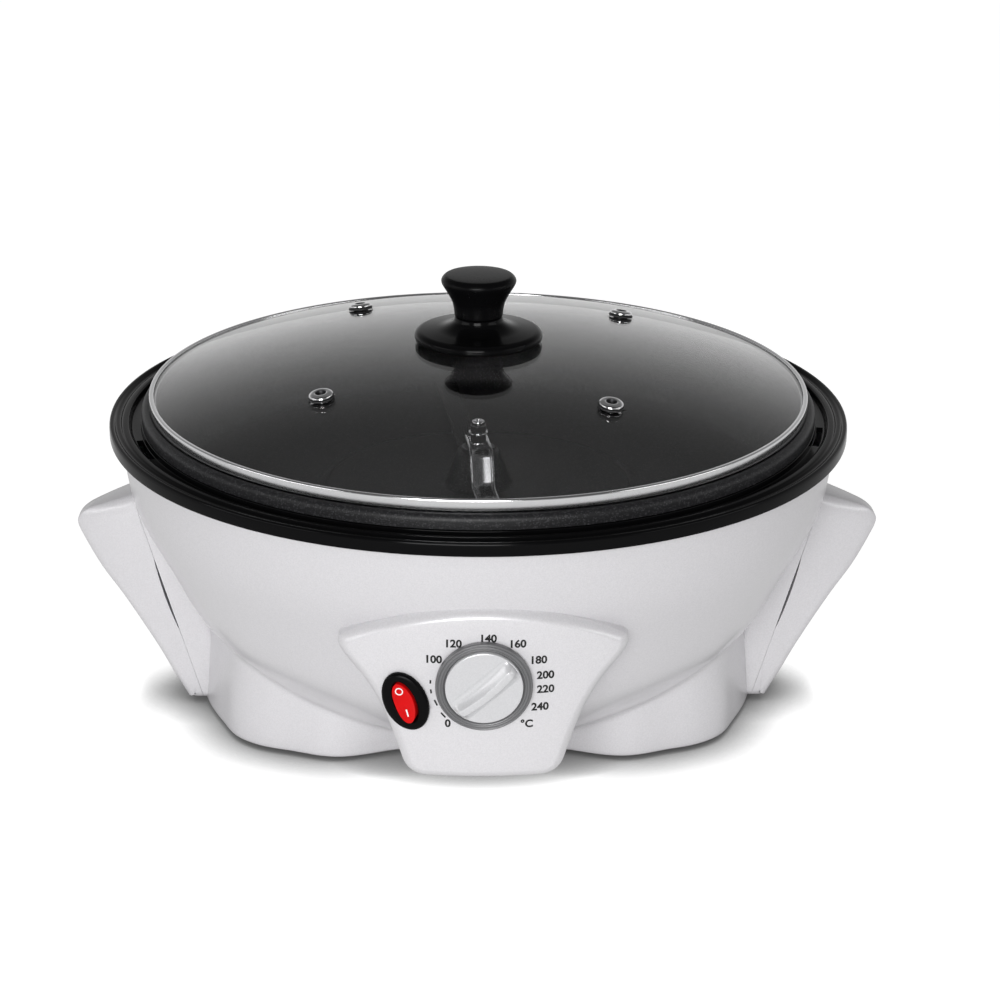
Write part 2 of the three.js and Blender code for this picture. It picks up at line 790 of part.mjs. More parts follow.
// A ring of metal-sheathed tube, open at the back, with both ends turned down through the liner
function heatingElement() {
  const [from, to] = [90 + elementGapAngle, 450 - elementGapAngle];
  const at = (angle, height) => {
    const spot = radians(angle);
    return new THREE.Vector3(elementRadius * Math.cos(spot), elementRadius * Math.sin(spot), height);
  };
  // An end comes up straight and bends over into the ring; way is 1 at the first end, -1 at the last
  const end = (angle, way) => {
    const bend = [0, 30, 60].map((turn) => {
      const along = elementBend * (1 - Math.cos(radians(turn)));
      const height = elementHeight - elementBend * (1 - Math.sin(radians(turn)));
      return at(angle + way * THREE.MathUtils.radToDeg(along / elementRadius), height);
    });
    return [at(angle, elementHeight - elementBend - elementTail), ...bend];
  };
  const bendAngle = THREE.MathUtils.radToDeg(elementBend / elementRadius);
  const ring = Array.from({ length: 25 }, (_, i) => {
    return at(from + bendAngle + ((to - from - 2 * bendAngle) * i) / 24, elementHeight);
  });
  const points = [...end(from, 1), ...ring, ...end(to, -1).reverse()];
  const section = new THREE.Shape(
    arc(0, 0, elementTubeRadius, 0, 300, 5).map(([x, y]) => new THREE.Vector2(x, y)),
  );
  const path = new THREE.CatmullRomCurve3(points, false, "centripetal");
  const settings = { steps: 56, extrudePath: path, bevelEnabled: false };
  return toSolid(new THREE.ExtrudeGeometry(section, settings));
}

// Stirrer: a channel-section strip over the pan's cone, down both its sides and out along the floor
function stirrerArm() {
  const low = panFloor + armFloorGap;
  const reach = panFloorRadius - armEndGap;
  const [hub, knee] = [coneTopRadius + runningClearance, coneBaseRadius + armConeGap];
  const underside = (end) => [
    [-end, low],
    [-knee, low],
    [-hub, armHubHeight],
    [hub, armHubHeight],
    [knee, low],
    [end, low],
  ];
  const half = armWidth / 2;
  const web = sheetOutline(underside(reach), armFlangeHeight);
  const line = underside(reach + overrun);
  const hollow = [...offsetLine(line, armThickness), ...offsetLine(line, 2 * armFlangeHeight).reverse()];
  const inner = half - armFlangeWidth;
  const strip = drawnBack(web, -half, half).subtract(drawnBack(hollow, -inner, inner));
  const bore = disc(shaftRadius + clearance, armHubHeight - overrun, armHubHeight + overrun);
  return strip.subtract(bore).rotate([0, 0, 90 + armTurn]);
}

const nutBottom = armHubHeight + armThickness + clearance;
const washerBottom = nutBottom + nutHeight + clearance;
const locknutBottom = washerBottom + washerThickness + clearance;
const couplingBottom = motorPlate + runningClearance;
const shaftJoint = couplingBottom + couplingLength / 2;

function hexNut(bottom, height) {
  const bore = disc(shaftRadius + clearance, bottom - overrun, bottom + height + overrun);
  return disc(nutRadius, bottom, bottom + height, 6).subtract(bore);
}

function driveShaft() {
  return turned([
    [0, shaftJoint + clearance],
    [shaftRadius, shaftJoint + clearance],
    [shaftRadius, shaftTop - shaftTipEdge],
    [shaftRadius - shaftTipEdge, shaftTop],
    [shaftCentreBore, shaftTop],
    [shaftCentreBore, shaftTop - shaftCentreDepth],
    [0, shaftTop - shaftCentreDepth],
  ]);
}

function shaftBush() {
  const bore = shaftRadius + runningClearance;
  const seat = coneTop + clearance;
  return turned([
    [bore, coneTop - bushLength],
    [bushRadius, coneTop - bushLength],
    [bushRadius, seat],
    [bushFlangeRadius, seat],
    [bushFlangeRadius, bushTop],
    [bore, bushTop],
  ]);
}

// Motor, gearbox and their bracket, hung under the liner's floor
function motorCan() {
  const top = motorTop - gearboxHeight - clearance;
  const bottom = top - motorHeight;
  return turned([
    [0, bottom],
    [motorRadius - motorEdgeRadius, bottom],
    [motorRadius, bottom + motorEdgeRadius],
    [motorRadius, top - motorEdgeRadius],
    [motorRadius - motorEdgeRadius, top],
    [0, top],
  ], 2 * smallSides);
}

function motorBracket() {
  const half = bracketSpan / 2;
  const line = [
    [-half - bracketFlange, bracketTop],
    [-half, bracketTop],
    [-half, motorPlate],
    [half, motorPlate],
    [half, bracketTop],
    [half + bracketFlange, bracketTop],
  ];
  const strap = drawnBack(sheetOutline(line, -bracketThickness), -bracketWidth / 2, bracketWidth / 2);
  return strap.subtract(disc(shaftRadius + runningClearance, motorPlate - overrun, motorPlate + overrun));
}

// A clip stands on the liner's floor and cradles the element
function elementClip(angle) {
  const top = elementHeight - elementTubeRadius - clearance;
  const bottom = linerFloor + clearance;
  const [wide, web, saddle] = [elementClipWidth / 2, elementClipThickness / 2, elementSaddle / 2];
  const outline = [
    [-wide, bottom],
    [wide, bottom],
    [wide, bottom + elementClipThickness],
    [web, bottom + elementClipThickness],
    [web, top - elementClipThickness],
    [saddle, top - elementClipThickness],
    [saddle, top],
    [-saddle, top],
    [-saddle, top - elementClipThickness],
    [-web, top - elementClipThickness],
    [-web, bottom + elementClipThickness],
    [-wide, bottom + elementClipThickness],
  ];
  const clip = drawnBack(outline, -wide, wide).translate([elementRadius, 0, 0]);
  return clip.rotate([0, 0, angle]);
}

function thermalFuse() {
  const height = linerFloor - linerWall - clearance - fuseRadius;
  const rod = disc(fuseRadius, -fuseLength / 2, fuseLength / 2).rotate([90, 0, 0]);
  return rod.translate([fuseReach, 0, height]);
}

// Base cover with vents under the motor, pushed-in rubber feet and a terminal block on it
function baseCover() {
  const rings = [coverBottom, coverTop].map((height) => {
    const line = footOutline(housingWall + clearance, coverTop);
    return line.map(([x, y]) => new THREE.Vector3(x, y, height));
  });
  let plate = skinned(rings);
  for (let vent = 0; vent < coverVentCount; vent += 1) {
    const across = (vent - (coverVentCount - 1) / 2) * coverVentPitch;
    plate = plate.subtract(block(coverVentWidth, coverVentLength, 2 * overrun, across, 0, coverTop));
  }
  for (const [x, y] of footPlaces()) {
    const hole = disc(footStemRadius + clearance, coverBottom - overrun, coverTop + overrun);
    plate = plate.subtract(hole.translate([x, y, 0]));
  }
  return plate;
}

function footPlaces() {
  const [across, back] = [footPlaceShares[0] * footHalfWidth, footPlaceShares[1] * footHalfDepth];
  return [[-across, -back], [across, -back], [-across, back], [across, back]];
}

function rubberFoot() {
  const shoulder = coverBottom - clearance;
  const head = coverTop + clearance;
  return turned([
    [0, 0],
    [footPadRadius - footTaper, 0],
    [footPadRadius, footTaper],
    [footPadRadius, shoulder],
    [footStemRadius, shoulder],
    [footStemRadius, head],
    [footHeadRadius, head],
    [footStemRadius, head + footHeadHeight],
    [0, head + footHeadHeight],
  ]);
}

function terminalBlock() {
  const bottom = coverTop + clearance;
  const top = bottom + blockHeight;
  let body = block(blockWidth, blockDepth, blockHeight, 0, blockPlace, (bottom + top) / 2);
  for (let pole = 0; pole < blockPoleCount; pole += 1) {
    const across = (pole - (blockPoleCount - 1) / 2) * (blockWidth / blockPoleCount);
    const hole = disc(blockPoleRadius, top - blockPoleDepth, top + overrun);
    body = body.subtract(hole.translate([across, blockPlace, 0]));
  }
  return body;
}

function cordGland() {
  const seat = inletReach + clearance;
  return turned([
    [glandBore, seat - glandLength],
    [glandRadius, seat - glandLength],
    [glandRadius, seat],
    [glandFlangeRadius, seat],
    [glandFlangeRadius, seat + glandFlangeThickness],
    [glandBore, seat + glandFlangeThickness],
  ]).rotate([-90, 0, 0]).translate([0, 0, inletHeight]);
}

// Lid: a domed glass with four vent eyelets in a steel rim, and a two-piece knob screwed through it
function domeTopAt(radius) {
  return glassEdgeTop + domeRise * (1 - (radius / glassRadius) ** domePower);
}

function eyeletFrames() {
  const share = (eyeletPlace / glassRadius) ** (domePower - 1);
  const tilt = Math.atan((domeRise * domePower * share) / glassRadius);
  const turns = [eyeletSpread, 180 - eyeletSpread, 180 + eyeletSpread, -eyeletSpread];
  return turns.map((turn) => {
    const angle = radians(eyeletTurn + turn);
    const frame = new THREE.Group();
    const [x, y] = [eyeletPlace * Math.cos(angle), eyeletPlace * Math.sin(angle)];
    frame.position.set(x, y, domeTopAt(eyeletPlace));
    frame.rotation.set(0, tilt, angle, "ZYX");
    return frame;
  });
}

function lidGlass() {
  const hole = knobScrewRadius + clearance;
  const steps = 6;
  const top = Array.from({ length: steps + 1 }, (_, i) => {
    const radius = hole + ((glassRadius - hole) * i) / steps;
    return [radius, domeTopAt(radius)];
  });
  const bottom = top.map(([radius, height]) => [radius, height - glassThickness]).reverse();
  let glass = turned([...bottom, ...top], wideSides);
  for (const frame of eyeletFrames()) {
    glass = glass.subtract(movedWith(frame, disc(eyeletTubeRadius + clearance, -2 * overrun, overrun)));
  }
  return glass;
}

function lidRim() {
  const lip = glassRadius - lidRimLip;
  const skirt = panMouthRadius - lidSkirtGap;
  const channel = glassRadius + clearance;
  return turned([
    [lidRadius, lidRimBottom],
    [lidRadius, lidRimTop - lidRimEdge],
    [lidRadius - lidRimEdge, lidRimTop],
    [lip, domeTopAt(lip) + clearance + lidRimWall],
    [lip, domeTopAt(lip) + clearance],
    [channel, glassEdgeTop + clearance],
    [channel, lidRimBottom + lidRimWall],
    [skirt - lidRimWall, lidRimBottom + lidRimWall],
    [skirt - lidRimWall, lidRimBottom - lidSkirtDepth],
    [skirt, lidRimBottom - lidSkirtDepth],
    [skirt, lidRimBottom],
  ], wideSides);
}

function ventEyelet() {
  const seat = 2 * clearance + gasketThickness;
  const under = -glassThickness - clearance;
  return turned([
    [eyeletBore, under - eyeletTailThickness],
    [eyeletTailRadius, under - eyeletTailThickness],
    [eyeletTailRadius, under],
    [eyeletTubeRadius, under],
    [eyeletTubeRadius, seat],
    [eyeletFlangeRadius, seat],
    [eyeletFlangeRadius, seat + eyeletFlangeThickness - eyeletEdge],
    [eyeletFlangeRadius - eyeletEdge, seat + eyeletFlangeThickness],
    [eyeletBore, seat + eyeletFlangeThickness],
  ]);
}

function eyeletGasket() {
  return tube(gasketRadius, eyeletTubeRadius + clearance, clearance, clearance + gasketThickness);
}

const knobEdgeTop = knobBottom + knobFlangeEdge;
const knobNeckBottom = knobEdgeTop + knobFlare;
const knobNeckTop = knobNeckBottom + knobNeckHeight;
const knobGripBottom = knobNeckTop + clearance;
const knobScrewTop = knobBottom + knobScrewLength;

function knobBase() {
  const flare = new THREE.QuadraticBezierCurve(
    new THREE.Vector2(knobFlangeRadius - knobFlangeRound, knobEdgeTop),
    new THREE.Vector2(knobNeckRadius + knobFlare / 2, knobEdgeTop + knobFlangeRound),
    new THREE.Vector2(knobNeckRadius, knobNeckBottom),
  );
  return turned([
    [knobScrewRadius + clearance, knobBottom],
    [knobFlangeRadius - knobFlangeRound, knobBottom],
    [knobFlangeRadius, knobBottom + knobFlangeRound],
    [knobFlangeRadius, knobEdgeTop - knobFlangeRound],
    ...flare.getPoints(5).map((point) => point.toArray()),
    [knobNeckRadius, knobNeckTop],
    [knobScrewRadius + clearance, knobNeckTop],
  ], 2 * smallSides);
}

function knobGrip() {
  const top = knobGripBottom + knobGripHeight;
  const middleRadius = (knobWaistRadius + knobGripRadius) / 2;
  const flare = new THREE.SplineCurve([
    new THREE.Vector2(knobGripFoot, knobGripBottom),
    new THREE.Vector2(knobWaistRadius, knobGripBottom + knobWaistHeight),
    new THREE.Vector2(middleRadius, knobGripBottom + (knobWaistHeight + knobShoulderHeight) / 2),
    new THREE.Vector2(knobGripRadius, knobGripBottom + knobShoulderHeight),
    new THREE.Vector2(knobGripRadius, top - knobEdgeDrop),
  ]);
  const bore = knobScrewRadius + clearance;
  return turned([
    [0, knobScrewTop + clearance],
    [bore, knobScrewTop + clearance],
    [bore, knobGripBottom],
    ...flare.getPoints(9).map((point) => point.toArray()),
    [knobTopRadius, top],
    [0, top],
  ], 2 * smallSides);
}

function knobWasher() {
  const top = domeTopAt(0) - glassThickness - clearance;
  const bore = knobScrewRadius + clearance;
  return tube(knobWasherRadius, bore, top - knobWasherThickness, top);
}

function knobScrew() {
  const seat = domeTopAt(0) - glassThickness - 2 * clearance - knobWasherThickness;
  return turned([
    [0, seat - knobScrewHeadHeight],
    [knobScrewHead, seat - knobScrewHeadHeight],
    [knobScrewHead, seat],
    [knobScrewRadius, seat],
    [knobScrewRadius, knobScrewTop],
    [0, knobScrewTop],
  ]);
}

// Control panel
function controlPanel() {
  const seat = disc(dialRingRadius + clearance, -panelWall, 0, 2 * smallSides);
  const body = pod(0, -podBack).subtract(pod(panelWall, overrun - podBack));
  const shell = body.subtract(bowl(clearance)).subtract(foot(-clearance, housingLift, footTop));
  const stemHole = disc(thermostatNeckRadius / 2 + clearance, -panelWall - overrun, overrun);
  const long = switchLongRadius - switchBezelHeight + clearance;
  const short = switchShortRadius - switchBezelHeight + clearance;
  const switchHole = drawnUp(oval(long, short), -panelWall - overrun, overrun);
  return shell
    .add(movedWith(dialFrame, seat))
    .subtract(movedWith(dialFrame, stemHole))
    .subtract(movedWith(switchFrame, switchHole));
}

function dialRing() {
  const inner = dialRingRadius - dialRingWidth;
  return turned([
    [inner, clearance],
    [dialRingRadius, clearance],
    [dialRingRadius, dialRingHeight - dialRidgeEdge],
    [dialRingRadius - dialRidgeEdge, dialRingHeight],
    [inner + dialRidgeEdge, dialRingHeight],
    [inner, dialRingHeight - dialRidgeEdge],
  ], 2 * smallSides);
}

// The dial's knob is a disc with a bowed ridge across it, bored from behind for the stem
function dialKnob() {
  const radius = dialRingRadius - dialRingWidth - clearance;
  const top = dialDiscHeight + dialRidgeHeight;
  const plate = disc(radius, runningClearance, dialDiscHeight, 2 * smallSides);
  const span = radius - dialRidgeEnd;
  const ridge = (shrink) => {
    const steps = 11;
    const line = Array.from({ length: steps + 1 }, (_, i) => {
      const along = (2 * i) / steps - 1;
      return [along * (span - shrink), dialRidgeBow * (along ** 2 - 1 / 2)];
    });
    const half = dialRidgeWidth / 2 - shrink;
    return [...offsetLine(line, half), ...offsetLine(line, -half).reverse()];
  };
  const rings = [[0, runningClearance], [0, top - dialRidgeEdge], [dialRidgeEdge, top]];
  const bar = skinned(rings.map(([shrink, height]) => {
    return ridge(shrink).map(([x, y]) => new THREE.Vector3(x, y, height));
  }));
  const bore = disc(stemRadius + clearance, -overrun, stemDepth + clearance);
  const bounds = disc(span, runningClearance, top, 2 * smallSides);
  return plate.add(bar.intersect(bounds)).subtract(bore).rotate([0, 0, dialTurn]);
}

const thermostatFront = -panelWall - thermostatStandoff;

function thermostatBody() {
  const middle = thermostatFront - thermostatDepth / 2;
  const body = block(thermostatWidth, thermostatHeight, thermostatDepth, 0, 0, middle);
  const socket = thermostatFront - stemSocketDepth;
  const neck = disc(thermostatNeckRadius, socket, -panelWall - clearance);
  return body.add(neck).subtract(disc(stemRadius + runningClearance, socket, overrun));
}

function thermostatStem() {
  return disc(stemRadius, thermostatFront - stemSocketDepth + clearance, stemDepth);
}

// The thermostat's capillary runs under the liner, up through its floor and ends in a bulb
function capillarySensor() {
  const bulbHeight = panFloor - panWall - clearance - bulbRadius;
  const back = dialFrame.position.y + panelWall + thermostatStandoff + thermostatDepth;
  const hole = -bulbStart - capillaryDip;
  const low = linerFloor - linerWall - capillaryDip;
  const route = new THREE.CatmullRomCurve3([
    new THREE.Vector3(0, back + runningClearance, low),
    new THREE.Vector3(0, (back + hole) / 2, low),
    new THREE.Vector3(0, hole - capillaryDip, low + capillaryRadius),
    new THREE.Vector3(0, hole, linerFloor),
    new THREE.Vector3(0, hole + capillaryRadius, bulbHeight - bulbRadius),
    new THREE.Vector3(0, -bulbStart + bulbRadius, bulbHeight),
  ], false, "centripetal");
  const outline = arc(0, 0, capillaryRadius, 0, 300, 5).map(([x, y]) => new THREE.Vector2(x, y));
  const settings = { steps: 28, extrudePath: route, bevelEnabled: false };
  const line = toSolid(new THREE.ExtrudeGeometry(new THREE.Shape(outline), settings));
  const bulb = disc(bulbRadius, 0, bulbLength).rotate([-90, 0, 0]).translate([0, -bulbStart, bulbHeight]);
  return line.add(bulb);
}

// Rocker switch
function switchHousing() {
  const edge = switchBezelHeight - switchBezelEdge;
  const layers = [[0, clearance], [0, edge], [switchBezelEdge, switchBezelHeight]];
  const bezel = skinned(layers.map(([shrink, height]) => {
    return oval(switchLongRadius - shrink, switchShortRadius - shrink).map(([x, y]) => {
      return new THREE.Vector3(x, y, height);
    });
  }));
  const long = switchLongRadius - switchBezelHeight;
  const short = switchShortRadius - switchBezelHeight;
  const barrel = drawnUp(oval(long, short), -switchBodyDepth, edge);
  const opening = drawnUp(oval(switchOpeningLong, switchOpeningShort), -rockerSink - rockerRoom, overrun);
  return bezel.add(barrel).subtract(opening);
}

function rocker() {
  const top = switchBezelHeight + rockerRise;
  const prism = drawnUp(oval(rockerLongRadius, rockerShortRadius), -rockerSink, top);
  const reach = switchOpeningLong;
  const outline = [
    [-reach, -rockerSink],
    [reach, -rockerSink],
    [reach, top - rockerRise + rockerEndDrop],
    [0, top - rockerRise],
    [-reach, top - rockerRise + rockerEndDrop],
  ];
  const cut = drawnBack(outline, -reach, reach).rotate([-90, 0, 90]);
  return prism.intersect(cut);
}

function switchBlade(side) {
  const middle = -switchBodyDepth - switchBladeLength / 2 - clearance;
  const blade = block(switchBladeWidth, switchBladeThickness, switchBladeLength);
  return blade.translate([0, side * switchBladePlace, middle]);
}

// Assembly
roaster.add(dialFrame, switchFrame);

place("housing_shell", housingSolid(), "pearl");
const cover = wingCover();
place("right_handle_cover", cover, "pearl");
place("left_handle_cover", halfTurn(cover), "pearl");
place("collar_ring", collar(), "glossBlack");
place("base_cover", baseCover(), "dark");
for (const [x, y] of footPlaces()) {
  const name = `${y < 0 ? "front" : "rear"}_${x < 0 ? "left" : "right"}_foot`;
  place(name, rubberFoot().translate([x, y, 0]), "rubber");
}
place("terminal_block", terminalBlock(), "ceramic");
place("cord_gland", cordGland(), "rubber");

place("roasting_pan", pan(), "nonStick");
place("pan_liner", liner(), "sheet");
place("heating_element", heatingElement(), "enamel");
for (let clip = 0; clip < elementClipCount; clip += 1) {
  const angle = elementClipStart + (clip * 360) / elementClipCount;
  place(`element_clip_${clip + 1}`, elementClip(angle), "sheet");
}
place("thermal_fuse", thermalFuse(), "ceramic");
place("motor_bracket", motorBracket(), "sheet");
const gearboxBore = shaftRadius + runningClearance;
const gearbox = tube(gearboxRadius, gearboxBore, motorTop - gearboxHeight, motorTop, 2 * smallSides);
place("motor_can", motorCan(), "sheet");
place("gearbox", gearbox, "sheet");
const gearShaftBottom = motorTop - gearboxHeight + clearance;
place("gear_output_shaft", disc(shaftRadius, gearShaftBottom, shaftJoint), "steel");
const shaftBore = shaftRadius + clearance;
const couplingTop = couplingBottom + couplingLength;
place("shaft_coupling", tube(couplingRadius, shaftBore, couplingBottom, couplingTop), "brass");
place("drive_shaft", driveShaft(), "steel");
place("shaft_bush", shaftBush(), "enamel");
place("stirrer_arm", stirrerArm(), "steel");
place("stirrer_nut", hexNut(nutBottom, nutHeight), "enamel");
const washer = tube(washerRadius, shaftBore, washerBottom, washerBottom + washerThickness);
place("stirrer_washer", washer, "steel");
place("stirrer_locknut", hexNut(locknutBottom, locknutHeight), "enamel");

place("control_panel", controlPanel(), "pearl");
place("dial_ring", dialRing(), "dialRing", dialFrame);
place("dial_knob", dialKnob(), "dial", dialFrame);
place("thermostat_body", thermostatBody(), "ceramic", dialFrame);
place("thermostat_stem", thermostatStem(), "steel", dialFrame);
place("capillary_sensor", capillarySensor(), "steel");
place("switch_housing", switchHousing(), "dark", switchFrame);
const rockerMesh = place("switch_rocker", rocker(), "red", switchFrame);
rockerMesh.rotation.x = radians(-rockerTilt);
place("switch_blade_upper", switchBlade(1), "brass", switchFrame);
place("switch_blade_lower", switchBlade(-1), "brass", switchFrame);

place("lid_glass", lidGlass(), "glass");
place("lid_rim", lidRim(), "steel");
for (const [i, frame] of eyeletFrames().entries()) {
  roaster.add(frame);
  place(`vent_eyelet_${i + 1}`, ventEyelet(), "steel", frame);
  place(`eyelet_gasket_${i + 1}`, eyeletGasket(), "silicone", frame);
}
place("knob_base", knobBase(), "glossBlack");
place("knob_grip", knobGrip(), "glossBlack");
place("knob_washer", knobWasher(), "silicone");
place("knob_screw", knobScrew(), "steel");

export default roaster;
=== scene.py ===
# Home coffee bean roaster, dressed for display: a silver-white moulded housing with two wings, a
# black collar and pan, a turning stirrer, a domed glass lid and a control panel with a dial.
from math import asin, atan, cos, degrees, hypot, pi, radians, sin, sqrt, tan

import bpy
from mathutils import Matrix, Vector


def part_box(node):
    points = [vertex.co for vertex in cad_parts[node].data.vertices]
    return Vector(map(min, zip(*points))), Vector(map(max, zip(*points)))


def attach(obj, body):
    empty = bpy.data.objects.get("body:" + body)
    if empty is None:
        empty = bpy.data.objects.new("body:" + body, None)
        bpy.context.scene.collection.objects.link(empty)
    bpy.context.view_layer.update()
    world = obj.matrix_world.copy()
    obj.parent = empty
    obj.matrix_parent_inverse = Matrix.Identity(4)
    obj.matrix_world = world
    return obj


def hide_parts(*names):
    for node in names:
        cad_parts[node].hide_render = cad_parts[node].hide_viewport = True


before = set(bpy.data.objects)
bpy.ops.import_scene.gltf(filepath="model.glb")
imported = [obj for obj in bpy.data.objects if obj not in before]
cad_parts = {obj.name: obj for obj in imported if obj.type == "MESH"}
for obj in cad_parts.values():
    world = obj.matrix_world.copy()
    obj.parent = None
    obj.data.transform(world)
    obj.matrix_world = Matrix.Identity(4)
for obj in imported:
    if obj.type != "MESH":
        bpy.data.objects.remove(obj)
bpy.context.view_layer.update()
mm = 0.001

# The studio: a camera at the height of somebody standing at the counter, a little left of the
# middle. Its lens is long, so the rings keep their shape.
view = bpy.data.cameras.new("counter_view")
view.sensor_width = 36
view.lens = 93.56
view.shift_x, view.shift_y = 0.0216, -0.1164
view.clip_start, view.clip_end = 0.05, 40
camera = bpy.data.objects.new("counter_view", view)
bpy.context.collection.objects.link(camera)
rise, turn, roll = radians(18.3), radians(-1.0), 0.004
rim_height, distance = 131 * mm, 1020 * mm
towards = Vector((sin(turn) * cos(rise), -cos(turn) * cos(rise), sin(rise)))
camera.location = Vector((0, 0, rim_height)) + towards * distance
level = (-towards).to_track_quat("-Z", "Y")
camera.rotation_euler = (level.to_matrix() @ Matrix.Rotation(roll, 3, "Z")).to_euler()
bpy.context.scene.camera = camera
bpy.context.scene.view_settings.view_transform = "Standard"


# The counter is a plain pale surface. It shows white to the camera and through glass, throws a soft
# light up on the foot, and keeps the close shadow under the feet: partly the lamps' shadow on it,
# partly painted shadow, its glow darkened by ambient occlusion near the object.
def new_material(name):
    """A material, its node tree and its Principled shader."""
    material = bpy.data.materials.new(name)
    material.use_nodes = True
    return material, material.node_tree, material.node_tree.nodes["Principled BSDF"]


def fill(tree, node, values):
    """Each of these sockets of the node set to its value, or linked from its socket."""
    for socket, value in values.items():
        if isinstance(value, bpy.types.NodeSocket):
            tree.links.new(value, node.inputs[socket])
        else:
            node.inputs[socket].default_value = value
    return node


def added(tree, kind, values=None):
    """A new shader node of this kind with its sockets filled."""
    return fill(tree, tree.nodes.new("ShaderNode" + kind), values or {})


def joined(tree, way, *values):
    """The values put together by a Math node of this kind."""
    step = added(tree, "Math")
    step.operation = way
    return fill(tree, step, dict(enumerate(values))).outputs[0]


def directly_seen(tree):
    """One where the camera, a reflection or a view through glass shows this, zero for its light."""
    path = added(tree, "LightPath").outputs
    seen = joined(tree, "MAXIMUM", path["Is Camera Ray"], path["Is Glossy Ray"])
    seen = joined(tree, "MAXIMUM", seen, path["Is Transmission Ray"])
    bounced = joined(tree, "MINIMUM", path["Diffuse Depth"], 1)
    return joined(tree, "MULTIPLY", seen, joined(tree, "SUBTRACT", 1, bounced))


bpy.ops.object.select_all(action="DESELECT")
bpy.ops.mesh.primitive_plane_add(size=12, location=(0, 0, 0))
counter = bpy.context.object
counter.name = "counter"
white_counter, tree, surface = new_material("white_counter")
shadow_reach, shadow_depth = 20 * mm, 2.6
room_glow, seen_glow, gloss_glow = 0.48, 0.5, -0.4
# Painted contact shadow: the glow is darkened by ambient occlusion within this reach of the object.
shade = added(tree, "AmbientOcclusion", {"Distance": shadow_reach})
shade.samples = 8
painted_contact_shadow = joined(tree, "POWER", shade.outputs["AO"], shadow_depth)
in_gloss = added(tree, "LightPath").outputs["Is Glossy Ray"]
glow = joined(tree, "MULTIPLY", directly_seen(tree), seen_glow)
glow = joined(tree, "ADD", glow, room_glow)
glow = joined(tree, "ADD", glow, joined(tree, "MULTIPLY", in_gloss, gloss_glow))
fill(tree, surface, {
    "Base Color": (0.25, 0.25, 0.25, 1), "Roughness": 0.9, "Specular IOR Level": 0,
    "Emission Color": (1, 1, 1, 1), "Emission Strength": joined(tree, "MULTIPLY", painted_contact_shadow, glow),
})
counter.data.materials.append(white_counter)

# The room: a white backdrop to the camera and through glass. Gloss sees that backdrop low down and
# in front, and the dim upper room above it, which keeps black parts and the glass deep.
room = bpy.data.worlds.new("white_room")
bpy.context.scene.world = room
room.use_nodes = True
tree = room.node_tree
way = added(tree, "SeparateXYZ", {"Vector": added(tree, "TexCoord").outputs["Generated"]}).outputs
fade = added(tree, "MapRange", {
    "Value": way["Z"], "From Min": 0.0, "From Max": 0.66, "To Min": 0.80, "To Max": 0.16,
})
fade.interpolation_type = "SMOOTHSTEP"
behind = added(tree, "MapRange", {
    "Value": way["Y"], "From Min": -0.4, "From Max": 0.3, "To Min": 0.35,
})
in_gloss = joined(tree, "MULTIPLY", fade.outputs["Result"], behind.outputs["Result"])
mirrored = joined(tree, "MINIMUM", added(tree, "LightPath").outputs["Glossy Depth"], 1)
backdrop = added(tree, "Mix", {0: mirrored, 2: 1.0, 3: in_gloss})
fill_light = joined(tree, "MULTIPLY", fade.outputs["Result"], 0.34)
shown = added(tree, "Mix", {0: directly_seen(tree), 2: fill_light, 3: backdrop.outputs[0]})
fill(tree, tree.nodes["Background"], {"Color": (1, 1, 1, 1), "Strength": shown.outputs[0]})

# Soft boxes: a broad one in front, a little to the left, a small one high up, and one on each side.
# Each has its name, place, turns in degrees, size in metres and power in watts.
for name, place, turns, size, power in [
    ("box_front", (-0.25, -1.9, 0.65), (74, 0, -7.5), (1.0, 0.8), 29),
    ("box_high", (-0.1, -1.25, 1.35), (46, 0, -4), (0.6, 0.35), 1.2),
    ("box_left", (-1.6, -0.7, 0.6), (0, -72, 22), (0.35, 1.3), 4),
    ("box_right", (1.6, -0.7, 0.6), (0, 72, -22), (0.35, 1.3), 3.5),
]:
    lamp = bpy.data.lights.new(name, "AREA")
    lamp.shape = "RECTANGLE"
    lamp.size, lamp.size_y = size
    lamp.energy = power
    holder = bpy.data.objects.new(name, lamp)
    holder.location = place
    holder.rotation_euler = [radians(angle) for angle in turns]
    bpy.context.collection.objects.link(holder)


# Base cover and feet: a flat black moulding with vents closes the foot, on four rubber feet that
# push into its holes. Both come plain from the mould, with a fine spark-eroded grain.
def grain_group():
    """Moulded grain: small even bumps from a fine noise, a change of shine from a broad one."""
    group = bpy.data.node_groups.new("moulded_grain", "ShaderNodeTree")
    for name, value in [("Scale", 900.0), ("Roughness", 0.5), ("Spread", 0.08)]:
        made = group.interface.new_socket(name=name, in_out="INPUT", socket_type="NodeSocketFloat")
        made.default_value = value
    for name in ("Roughness", "Height"):
        group.interface.new_socket(name=name, in_out="OUTPUT", socket_type="NodeSocketFloat")
    given = group.nodes.new("NodeGroupInput").outputs
    where = added(group, "TexCoord").outputs["Object"]
    fine = added(group, "TexNoise", {"Vector": where, "Scale": given["Scale"], "Detail": 3})
    broad = added(group, "TexNoise", {"Vector": where, "Scale": 35, "Detail": 5})
    uneven = joined(group, "SUBTRACT", broad.outputs["Fac"], 0.5)
    shine = joined(group, "MULTIPLY_ADD", uneven, given["Spread"], given["Roughness"])
    fill(group, group.nodes.new("NodeGroupOutput"), {
        "Roughness": shine, "Height": fine.outputs["Fac"],
    })
    return group


grain = grain_group()


def bumps(tree, height, strength, depth):
    """The normal that a height gives as bumps of this depth in metres."""
    return added(tree, "Bump", {
        "Strength": strength, "Distance": depth, "Height": height,
    }).outputs["Normal"]


